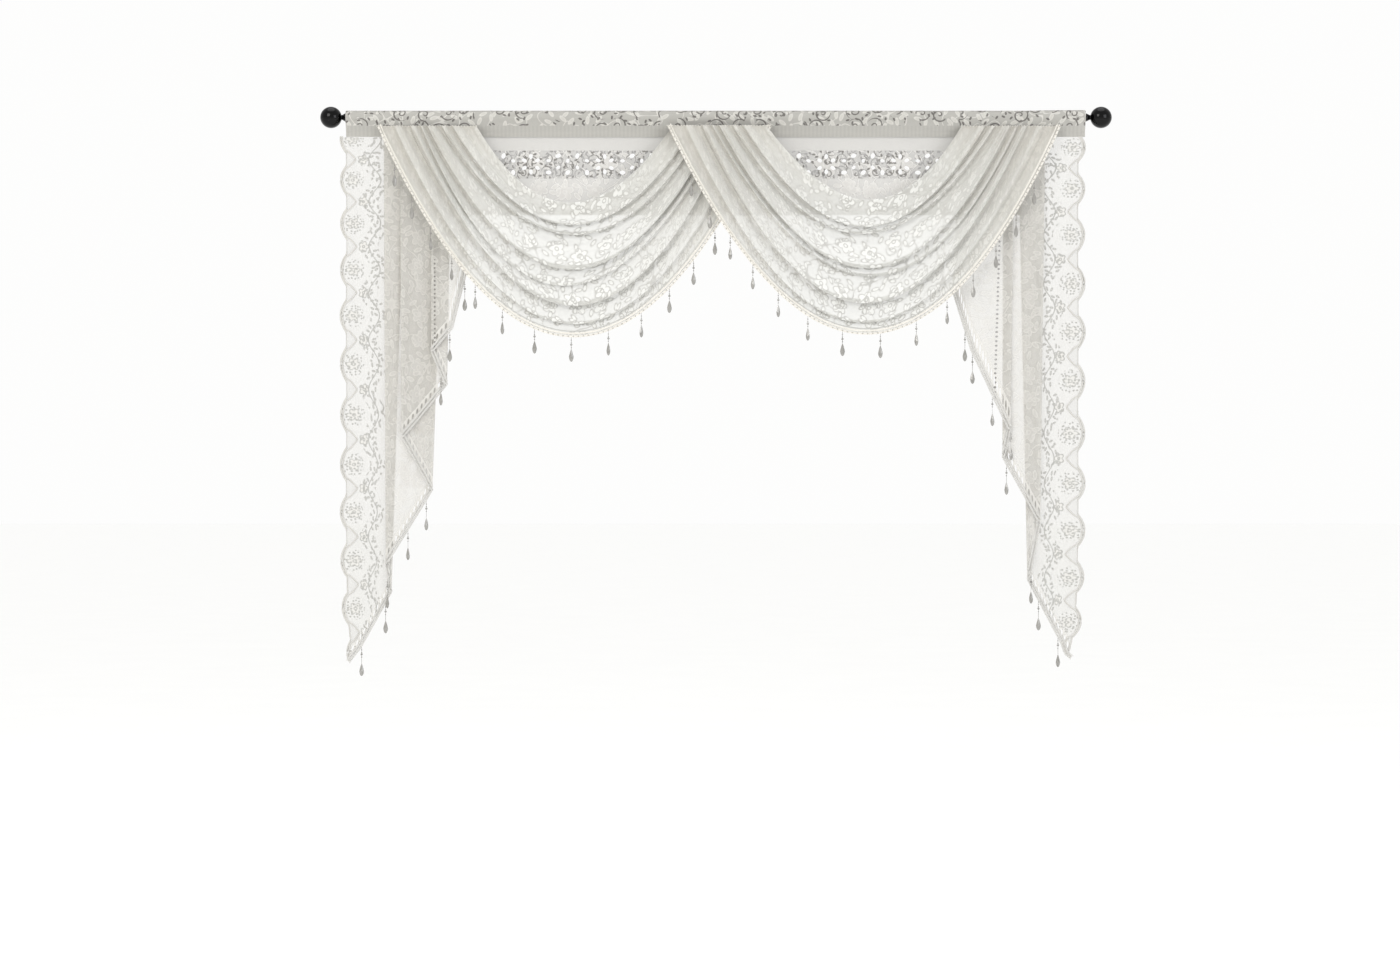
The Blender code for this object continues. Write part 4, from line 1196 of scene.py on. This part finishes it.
def lace_holes():
    """Place, radius and turn of the holes: flowers, and scrolls between them."""
    holes = []
    repeats = int(2.0 * PANEL_HALF / LACE_REPEAT)
    first = -(repeats - 1) * LACE_REPEAT / 2.0
    for repeat in range(repeats):
        flower = first + repeat * LACE_REPEAT
        for petal in range(PETALS):
            angle = 2.0 * math.pi * (petal + 0.5) / PETALS
            place = (flower + PETAL_REACH * math.cos(angle),
                     BAND_MIDDLE + PETAL_REACH * math.sin(angle))
            holes.append((place, PETAL_HOLE, angle))
        if repeat == repeats - 1:
            break
        for step in range(SCROLL_STEPS):
            x = flower + SCROLL_START + SCROLL_STEP * step
            swing = SCROLL_SWING if step % 2 else -SCROLL_SWING
            holes.append(((x, BAND_MIDDLE + swing), SCROLL_HOLE, 0.4 * step))
            holes.append(((x, BAND_MIDDLE - 0.4 * swing), SCROLL_HOLE * 0.8, 0.7 * step))
    return holes


def oval(place, radius, turn):
    """A hole's ring: an oval turned by an angle."""
    ring = []
    for side in range(HOLE_SIDES):
        angle = 2.0 * math.pi * side / HOLE_SIDES
        long, short = radius * math.cos(angle), radius * HOLE_OVAL * math.sin(angle)
        ring.append((place[0] + long * math.cos(turn) - short * math.sin(turn),
                     place[1] + long * math.sin(turn) + short * math.cos(turn)))
    return ring


def fill_band(work, across, top, bottom):
    """The open band: a 2D curve filled between its outline and its holes."""
    rings = [[(x, top) for x in across] + [(x, bottom) for x in reversed(across)]]
    rings += [oval(*hole) for hole in lace_holes()]
    curve = bpy.data.curves.new("open band", "CURVE")
    curve.dimensions = "2D"
    curve.fill_mode = "BOTH"
    for ring in rings:
        spline = curve.splines.new("POLY")
        spline.points.add(len(ring) - 1)
        for point, (x, z) in zip(spline.points, ring):
            point.co = (x, z, 0.0, 1.0)
        spline.use_cyclic_u = True
    band = bpy.data.objects.new("open band", curve)
    bpy.context.scene.collection.objects.link(band)
    bpy.context.view_layer.update()
    filled = bpy.data.meshes.new_from_object(
        band.evaluated_get(bpy.context.evaluated_depsgraph_get()))
    work.from_mesh(filled)
    bpy.data.objects.remove(band)
    bpy.data.meshes.remove(filled)


def make_panel():
    across = [mix(-PANEL_HALF, PANEL_HALF, index / PANEL_COLUMNS)
              for index in range(PANEL_COLUMNS + 1)]
    band_top, band_bottom = PANEL_TOP - BAND_TOP, PANEL_TOP - BAND_BOTTOM
    work = bmesh.new()
    fill_band(work, across, band_top, band_bottom)
    # Straight cuts through the filled band let it bend with the same waves as the grids.
    cuts = [((x, 0.0, 0.0), (1.0, 0.0, 0.0)) for x in across[1:-1]]
    cuts += [((0.0, mix(band_top, band_bottom, step / 4.0), 0.0), (0.0, 1.0, 0.0))
             for step in (1, 2, 3)]
    for place, way in cuts:
        bmesh.ops.bisect_plane(work, geom=[*work.verts, *work.edges, *work.faces], dist=0.00001,
                               plane_co=place, plane_no=way)
    for start, end, rows in ((PANEL_TOP, band_top, 4), (band_bottom, PANEL_BOTTOM, 9)):
        grid = [[work.verts.new((x, mix(start, end, row / rows), 0.0)) for row in range(rows + 1)]
                for x in across]
        for left, right in zip(grid, grid[1:]):
            for row in range(rows):
                work.faces.new((left[row], left[row + 1], right[row + 1], right[row]))
    bmesh.ops.remove_doubles(work, verts=work.verts, dist=0.00002)
    bmesh.ops.recalc_face_normals(work, faces=work.faces)
    points = []
    for corner in work.verts:
        x, z = corner.co.xy
        fall = (PANEL_TOP - z) / (PANEL_TOP - PANEL_BOTTOM)
        wave = 0.5 - 0.5 * math.cos(2.0 * math.pi * x / PANEL_WAVE_LENGTH)
        corner.co = (x, PANEL_BACK + PANEL_WAVE * fall * wave, z)
        points.append(ClothPoint(corner.co.copy(), (x, PANEL_TOP - z), (x, z - PANEL_BOTTOM),
                                 0.0, 0.0))
    work.normal_update()
    if sum(face.normal.y for face in work.faces) > 0.0:
        bmesh.ops.reverse_faces(work, faces=work.faces)
    mesh = bpy.data.meshes.new("back_valance_lace")
    work.to_mesh(mesh)
    work.free()
    write_maps(mesh, points)
    print("back_valance_lace", len(mesh.polygons), "faces,",
          round(sum(face.area for face in mesh.polygons), 3), "square metres")
    return link_mesh("back_valance_lace", mesh, panel_finish)


panel = make_panel()

# %% [markdown]
# ## Twisted cord with Geometry Nodes
# A twisted cord shows as slanting grains, one for each turn of its strands. They repeat along a
# path, which is what Geometry Nodes do well: the path becomes evenly spaced points, each point
# carries one grain turned to the path, and Realize Instances makes them real faces. Sizes are
# inputs of the tree, so the same tree also makes the finer cords and the stitches.

# %% Tree for cords
def new_tree(name, sizes):
    """A node group with a geometry and a finish going in, named sizes, and a geometry coming out."""
    tree = bpy.data.node_groups.new(name, "GeometryNodeTree")
    tree.interface.new_socket("Path", in_out="INPUT", socket_type="NodeSocketGeometry")
    for size, value in sizes.items():
        tree.interface.new_socket(size, in_out="INPUT",
                                  socket_type="NodeSocketFloat").default_value = value
    tree.interface.new_socket("Finish", in_out="INPUT", socket_type="NodeSocketMaterial")
    tree.interface.new_socket("Piece", in_out="OUTPUT", socket_type="NodeSocketGeometry")
    return tree, add(tree, "NodeGroupInput").outputs


def end_tree(tree, geometry, finish):
    """Realize and paint what the tree has made."""
    real = add(tree, "GeometryNodeRealizeInstances", {0: geometry})
    painted = add(tree, "GeometryNodeSetMaterial", {"Geometry": real, "Material": finish})
    add(tree, "NodeGroupOutput", {0: painted})


cord_tree, given = new_tree("twisted cord", {
    "Spacing": 0.0034, "Grain Length": 0.0070, "Grain Width": 0.0026, "Grain Depth": 0.0030,
    "Slant": 0.6})
upright = add(cord_tree, "GeometryNodeSetCurveNormal", {"Curve": given["Path"]}, mode="Z_UP")
spots = add(cord_tree, "GeometryNodeCurveToPoints",
            {"Curve": upright, "Length": given["Spacing"]}, mode="LENGTH")
grain = add(cord_tree, "GeometryNodeMeshUVSphere", {"Segments": 6, "Rings": 5, "Radius": 0.5})
size = add(cord_tree, "ShaderNodeCombineXYZ",
           {0: given["Grain Depth"], 1: given["Grain Width"], 2: given["Grain Length"]})
turn = add(cord_tree, "ShaderNodeCombineXYZ", {0: given["Slant"]})
grain = add(cord_tree, "GeometryNodeTransform", {"Geometry": grain, "Scale": size})
grain = add(cord_tree, "GeometryNodeTransform", {"Geometry": grain, "Rotation": turn})
grain = add(cord_tree, "GeometryNodeSetShadeSmooth", {0: grain})
grains = add(cord_tree, "GeometryNodeInstanceOnPoints", {
    "Points": spots.outputs["Points"], "Instance": grain, "Rotation": spots.outputs["Rotation"]})
end_tree(cord_tree, grains, given["Finish"])
print("cord tree:", len(cord_tree.nodes), "nodes")

# %% [markdown]
# A drop hangs from a thread with seed beads and a round one, and ends in a teardrop. The tree puts
# one drop at each point that goes in, and turns each a little about its thread, as beads do.
# The turn is random with a fixed seed, so every run gives the same curtain.

# %% Tree for drops
THREAD_RADIUS = 0.00045
SEED_BEADS = 4
SEED_BEAD_START = -0.0060
SEED_BEAD_STEP = -0.0049
ROUND_BEAD_HEIGHT = -0.0150

drop_tree, given = new_tree("bead drop", {
    "Thread Length": 0.0235, "Bead Radius": 0.0014, "Round Bead": 0.0024, "Teardrop Length": 0.0260,
    "Teardrop Width": 0.0102, "Teardrop Depth": 0.0058, "Turn": 0.7})
half_thread = add(drop_tree, "ShaderNodeMath", {0: given["Thread Length"], 1: -0.5},
                  operation="MULTIPLY")
thread = add(drop_tree, "GeometryNodeMeshCylinder",
             {"Vertices": 4, "Radius": THREAD_RADIUS, "Depth": given["Thread Length"]})
thread = add(drop_tree, "GeometryNodeTransform", {
    "Geometry": thread.outputs["Mesh"],
    "Translation": add(drop_tree, "ShaderNodeCombineXYZ", {2: half_thread})})
bead_line = add(drop_tree, "GeometryNodeMeshLine", {
    "Count": SEED_BEADS, "Start Location": (0.0, 0.0, SEED_BEAD_START),
    "Offset": (0.0, 0.0, SEED_BEAD_STEP)})
bead = add(drop_tree, "GeometryNodeMeshIcoSphere",
           {"Radius": given["Bead Radius"], "Subdivisions": 1})
beads = add(drop_tree, "GeometryNodeInstanceOnPoints", {"Points": bead_line, "Instance": bead})
round_bead = add(drop_tree, "GeometryNodeMeshIcoSphere",
                 {"Radius": given["Round Bead"], "Subdivisions": 2})
round_bead = add(drop_tree, "GeometryNodeTransform",
                 {"Geometry": round_bead, "Translation": (0.0, 0.0, ROUND_BEAD_HEIGHT)})
tear = add(drop_tree, "GeometryNodeMeshUVSphere", {"Segments": 8, "Rings": 7, "Radius": 0.5})
height = add(drop_tree, "ShaderNodeSeparateXYZ",
             {0: add(drop_tree, "GeometryNodeInputPosition")}).outputs[2]
taper = add(drop_tree, "ShaderNodeMapRange", {0: height, 1: 0.5, 2: -0.15, 3: 0.30, 4: 1.0})
taper = add(drop_tree, "ShaderNodeCombineXYZ", {0: taper, 1: taper, 2: 1.0})
tapered = add(drop_tree, "ShaderNodeVectorMath", {
    0: add(drop_tree, "GeometryNodeInputPosition"), 1: taper}, operation="MULTIPLY")
tear = add(drop_tree, "GeometryNodeSetPosition",
           {"Geometry": tear.outputs["Mesh"], "Position": tapered})
size = add(drop_tree, "ShaderNodeCombineXYZ", {
    0: given["Teardrop Width"], 1: given["Teardrop Depth"], 2: given["Teardrop Length"]})
lower = add(drop_tree, "ShaderNodeMath", {0: given["Teardrop Length"], 1: -0.5, 2: half_thread},
            operation="MULTIPLY_ADD")
lower = add(drop_tree, "ShaderNodeMath", {0: lower, 1: half_thread}, operation="ADD")
tear = add(drop_tree, "GeometryNodeTransform", {
    "Geometry": tear, "Scale": size,
    "Translation": add(drop_tree, "ShaderNodeCombineXYZ", {2: lower})})
drop = add(drop_tree, "GeometryNodeJoinGeometry")
for part in (thread, beads, round_bead, tear):
    drop_tree.links.new(part.outputs[0], drop.inputs[0])
whole = add(drop_tree, "GeometryNodeRealizeInstances", {0: drop})
spread = add(drop_tree, "ShaderNodeMath", {0: given["Turn"], 1: -1.0}, operation="MULTIPLY")
chance = add(drop_tree, "FunctionNodeRandomValue", {2: spread, 3: given["Turn"], "Seed": 7},
             data_type="FLOAT")
drops = add(drop_tree, "GeometryNodeInstanceOnPoints", {
    "Points": given["Path"], "Instance": whole,
    "Rotation": add(drop_tree, "ShaderNodeCombineXYZ", {2: chance.outputs[1]})})
end_tree(drop_tree, drops, given["Finish"])
print("drop tree:", len(drop_tree.nodes), "nodes")

# %% [markdown]
# A modifier takes its inputs by identifier, not by name, so one helper looks the identifiers up and
# sets them before the object is first evaluated. The result is then copied out as a plain mesh and
# the object with the live tree goes, because the export wants plain meshes.

# %% Run a tree
def grow(name, path, tree, finish, **sizes):
    """Run a tree on a path and keep the result as a mesh of its own."""
    source = bpy.data.objects.new(name + "_path", path)
    bpy.context.scene.collection.objects.link(source)
    modifier = source.modifiers.new("grow", "NODES")
    modifier.node_group = tree
    wanted = {"Finish": finish}
    wanted.update({key.replace("_", " ").title(): value for key, value in sizes.items()})
    for item in tree.interface.items_tree:
        if item.in_out == "INPUT" and item.name in wanted:
            modifier[item.identifier] = wanted[item.name]
    bpy.context.view_layer.update()
    mesh = bpy.data.meshes.new_from_object(
        source.evaluated_get(bpy.context.evaluated_depsgraph_get()))
    bpy.data.objects.remove(source)
    mesh.name = name
    made = bpy.data.objects.new(name, mesh)
    bpy.context.scene.collection.objects.link(made)
    print(name, len(mesh.polygons), "faces")
    return made


def path_curve(name, lines):
    """Open lines of points as one curve."""
    curve = bpy.data.curves.new(name, "CURVE")
    curve.dimensions = "3D"
    for points in lines:
        spline = curve.splines.new("POLY")
        spline.points.add(len(points) - 1)
        for spot, point in zip(spline.points, points):
            spot.co = (*point, 1.0)
    return curve


def spots_mesh(name, points):
    """Loose points, for a tree that puts something at each."""
    mesh = bpy.data.meshes.new(name)
    mesh.from_pydata(points, [], [])
    return mesh


# %% [markdown]
# ## Beaded trims
# Every lower hem has a twisted cord just below its edge, a thinner one sewn on the cloth above it,
# a small bead after every few turns, and the drops. All follow the hem, so one class reads
# the hem's line by its length, as a dressmaker measures along it with a tape.

# %% Hem line
TRIM_GAP = 0.0008
TRIM_HEIGHT = 0.0040
HEM_FEEL = 0.0012
FRONT = Vector((0.0, -1.0, 0.0))


class Hem:
    """A hem's line, read by its length, with the way the cloth runs into it."""

    def __init__(self, columns):
        self.points = [column[-1].at for column in columns]
        self.ways = [(column[-1].at - column[-2].at).normalized() for column in columns]
        self.marks = lengths_along(self.points)
        self.length = self.marks[-1]

    def read(self, values, length):
        length = min(max(length, 0.0), self.length)
        index = 0
        while index < len(self.marks) - 2 and self.marks[index + 1] < length:
            index += 1
        run = max(self.marks[index + 1] - self.marks[index], 0.000001)
        return values[index].lerp(values[index + 1], (length - self.marks[index]) / run)

    def at(self, length, outward=0.0, forward=0.0):
        """A point on the hem, moved away from the cloth and towards the viewer."""
        ahead = self.read(self.points, length + HEM_FEEL)
        along = ahead - self.read(self.points, length - HEM_FEEL)
        along.normalize()
        way = self.read(self.ways, length)
        out = (way - along * way.dot(along)).normalized()
        return self.read(self.points, length) + out * outward + FRONT * forward

    def line(self, step, outward=0.0, forward=0.0):
        count = int(self.length / step)
        return [self.at(index * self.length / count, outward, forward)
                for index in range(count + 1)]


def tail_drop_lengths(tail, hem):
    """Where a tail's drops hang, as lengths along its hem."""
    uprights = tail_uprights(tail)
    corners = [0.0]
    for row in tail.rows[1:-1]:
        near = min(range(len(uprights)), key=lambda index: abs(uprights[index].hem - row.hem)
                   + 2.0 * abs(uprights[index].drop - row.drop))
        corners.append(hem.marks[near])
    corners.append(hem.length)
    lengths = []
    for row, start, end in zip(tail.rows[1:], corners, corners[1:]):
        lengths += [mix(start, end, share) for share in row.drops]
    return lengths


hems = {name: Hem(columns) for name, columns in {**swag_sheets, **tail_sheets}.items()}
drop_lengths = {swag.name: [swag.first_drop + swag.drop_pitch * index
                            for index in range(swag.drops)] for swag in SWAGS}
drop_lengths.update({tail.name: tail_drop_lengths(tail, hems[tail.name]) for tail in TAILS})
for name, hem in hems.items():
    print(name, "hem is", round(hem.length, 3), "m with", len(drop_lengths[name]), "drops")

# %% Grow the trims
BEAD_STEP = 0.0102
HEM_LINE_STEP = 0.004
BRAID_ABOVE = 0.0030
BRAID_FRONT = 0.0018
BEAD_FRONT = 0.0017
SWAG_THREAD = 0.0235
TAIL_THREAD = 0.0335

trims = {}
for name, hem in hems.items():
    node = name.replace("swag", "swag_trim").replace("tail", "tail_trim")
    middle = TRIM_GAP + TRIM_HEIGHT / 2.0
    outer_line = hem.line(HEM_LINE_STEP, outward=middle)
    inner_line = hem.line(HEM_LINE_STEP, outward=-BRAID_ABOVE, forward=BRAID_FRONT)
    bead_line = hem.line(HEM_LINE_STEP, outward=middle, forward=BEAD_FRONT)
    thread, seed = ((cord_finish, bead_finish) if name in swags
                    else (picot_finish, picot_finish))
    cord = grow(node + "_cord", path_curve("outer line", [outer_line]), cord_tree, thread,
                spacing=0.0036, grain_length=0.0074, grain_width=0.0032, grain_depth=0.0034,
                slant=0.75)
    braid = grow(node + "_braid", path_curve("inner line", [inner_line]), cord_tree, thread,
                 spacing=0.0034, grain_length=0.0066, grain_width=0.0028, grain_depth=0.0018,
                 slant=-0.7)
    glints = grow(node + "_beads", path_curve("bead line", [bead_line]), cord_tree, seed,
                  spacing=BEAD_STEP, grain_length=0.0032, grain_width=0.0030, grain_depth=0.0030,
                  slant=0.0)
    roots = [hem.at(length, outward=TRIM_GAP + TRIM_HEIGHT) for length in drop_lengths[name]]
    drops = grow(node + "_drops", spots_mesh("drop roots", roots), drop_tree, acrylic_finish,
                 thread_length=SWAG_THREAD if name in swags else TAIL_THREAD)
    trims[name] = (node, cord, braid, glints, drops)

# %% [markdown]
# ## Outline cords of the scallops
# The tails' outer strip is edged by a cord that follows the scallops, and a second one that keeps to
# the edge round each peak and swings inwards between them, which gives each flower its own bay.

# %% Scallop cords
OUTLINE_STEPS = 300
OUTLINE_FRONT = 0.0009
OUTLINE_IN = 0.0004


def strip_point(tail, inward, fall):
    """A point of the outer strip, that far in from the edge and that far down."""
    outer, inner = tail.rows[0], tail.rows[1]
    part = inward / abs(inner.top - outer.top)
    upright = Upright(mix(outer.top, inner.top, part), mix(outer.hem, inner.hem, part),
                      mix(outer.drop, inner.drop, part), 0, inward, 1.0, 0.0)
    share = min(1.0, fall / (upright.drop - TAIL_TOP))
    return tail_point(tail, upright, share) + FRONT * OUTLINE_FRONT


def scallop_lines(tail):
    edge, swing = [], []
    for step in range(OUTLINE_STEPS + 1):
        fall = (tail.rows[0].drop - TAIL_TOP) * step / OUTLINE_STEPS
        phase = 2.0 * math.pi * repeats(tail, TAIL_TOP + fall)
        away = math.acos(math.cos(phase)) / math.pi
        inward = mix(SWING_NEAR, SWING_FAR, max(0.0, (away - SWING_FROM) / (1.0 - SWING_FROM)))
        edge.append(strip_point(tail, OUTLINE_IN, fall))
        swing.append(strip_point(tail, inward, fall))
    return edge, swing


outlines = {}
for tail in TAILS:
    edge, swing = scallop_lines(tail)
    outlines[tail.name] = grow(
        tail.name + "_outline", path_curve("scallop lines", [edge, swing]), cord_tree,
        edge_finish, spacing=0.0027, grain_length=0.0048, grain_width=0.0040,
        grain_depth=0.0014, slant=0.45)

# %% [markdown]
# ## Stitches of the gathers
# Each swag is sewn to the pocket along a short gathered line. The stitches are grains again, 6 mm
# apart, lying across the gathers.

# %% Gather stitches
STITCH_PITCH = 0.0062
STITCH_FRONT = 0.0006


def gather_lines(swag):
    places = [place / 4.0 for place in range(4 * (len(swag.lines) - 1) + 1)]
    return [[swag_point(swag, place, share) + FRONT * STITCH_FRONT for place in places]
            for share in (0.0, 1.0)]


stitches = {swag.name: grow(swag.name + "_stitches", path_curve("stitch lines", gather_lines(swag)),
                            cord_tree, cord_finish, spacing=STITCH_PITCH, grain_length=0.0034,
                            grain_width=0.0014, grain_depth=0.0012, slant=0.35)
            for swag in SWAGS}

# %% [markdown]
# ## Finials
# A finial is turned: its profile is a waisted neck and a ball, spun about the rod's axis. The
# profile is drawn once as radius and reach, and every point of it goes round in a ring.

# %% Finials
FIT_GAP = 0.0003
BALL_RADIUS = 0.0218
BALL_CENTRES = {"finial_left": -0.7805, "finial_right": 0.7825}
COLLAR_RADIUS = 0.0085
WAIST_RADIUS = 0.0048
COLLAR_ROUND = 0.93
END_RADIUS = 0.0002
NECK_STEPS = 8
RING_SIDES = 48
BALL_STEPS = 26


def finial_profile(centre):
    reach = abs(centre) - HEADING_HALF - FIT_GAP
    neck_angle = math.asin(WAIST_RADIUS / BALL_RADIUS)
    neck = reach - BALL_RADIUS * math.cos(neck_angle)
    profile = [(END_RADIUS, 0.0), (COLLAR_RADIUS * COLLAR_ROUND, 0.0), (COLLAR_RADIUS, 0.0004),
               (COLLAR_RADIUS, neck * 0.18), (COLLAR_RADIUS * COLLAR_ROUND, neck * 0.22)]
    for step in range(1, NECK_STEPS):
        share = step / NECK_STEPS
        radius = mix(COLLAR_RADIUS * 0.90, WAIST_RADIUS, smooth_step(share))
        profile.append((radius, mix(neck * 0.24, neck * 0.95, share)))
    for step in range(BALL_STEPS):
        angle = mix(neck_angle, math.pi, step / BALL_STEPS)
        profile.append((BALL_RADIUS * math.sin(angle), reach - BALL_RADIUS * math.cos(angle)))
    profile.append((END_RADIUS, reach + BALL_RADIUS))
    return profile


def make_finial(name, centre):
    side = math.copysign(1.0, centre)
    profile = finial_profile(centre)
    work = bmesh.new()
    rings = []
    for radius, reach in profile:
        ring = []
        for step in range(RING_SIDES):
            angle = 2.0 * math.pi * step / RING_SIDES
            ring.append(work.verts.new((side * (HEADING_HALF + FIT_GAP + reach),
                                        radius * math.cos(angle), radius * math.sin(angle))))
        rings.append(ring)
    for start, end in zip(rings, rings[1:]):
        for step in range(RING_SIDES):
            following = (step + 1) % RING_SIDES
            work.faces.new((start[step], start[following], end[following], end[step]))
    work.faces.new(rings[0])
    work.faces.new(rings[-1])
    bmesh.ops.recalc_face_normals(work, faces=work.faces)
    mesh = bpy.data.meshes.new(name + "_turned")
    work.to_mesh(mesh)
    work.free()
    print(name + "_turned", len(mesh.polygons), "faces")
    return link_mesh(name + "_turned", mesh, enamel_finish)


finials = {name: make_finial(name, centre) for name, centre in BALL_CENTRES.items()}

# %% [markdown]
# ## Tie the pieces to the solids
# Each piece rides on the body `root`, and the solid that it replaces is hidden.

# %% Riding and replacing
def settle(piece, slot_name, *nodes):
    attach(piece, "root")
    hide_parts(*nodes)


for name, sheet in {**swags, **tails}.items():
    settle(sheet, "lace", name)
    node, *trim = trims[name]
    for piece in trim:
        settle(piece, "beaded_trim", node)
for name, piece in stitches.items():
    settle(piece, "lace", name)
for name, piece in outlines.items():
    settle(piece, "lace", name)
settle(pocket, "lace", "heading")
settle(panel, "lace", "back_valance")
for name, piece in finials.items():
    settle(piece, "black_metal", name)

# %% Update the scene and finish
bpy.context.view_layer.update()
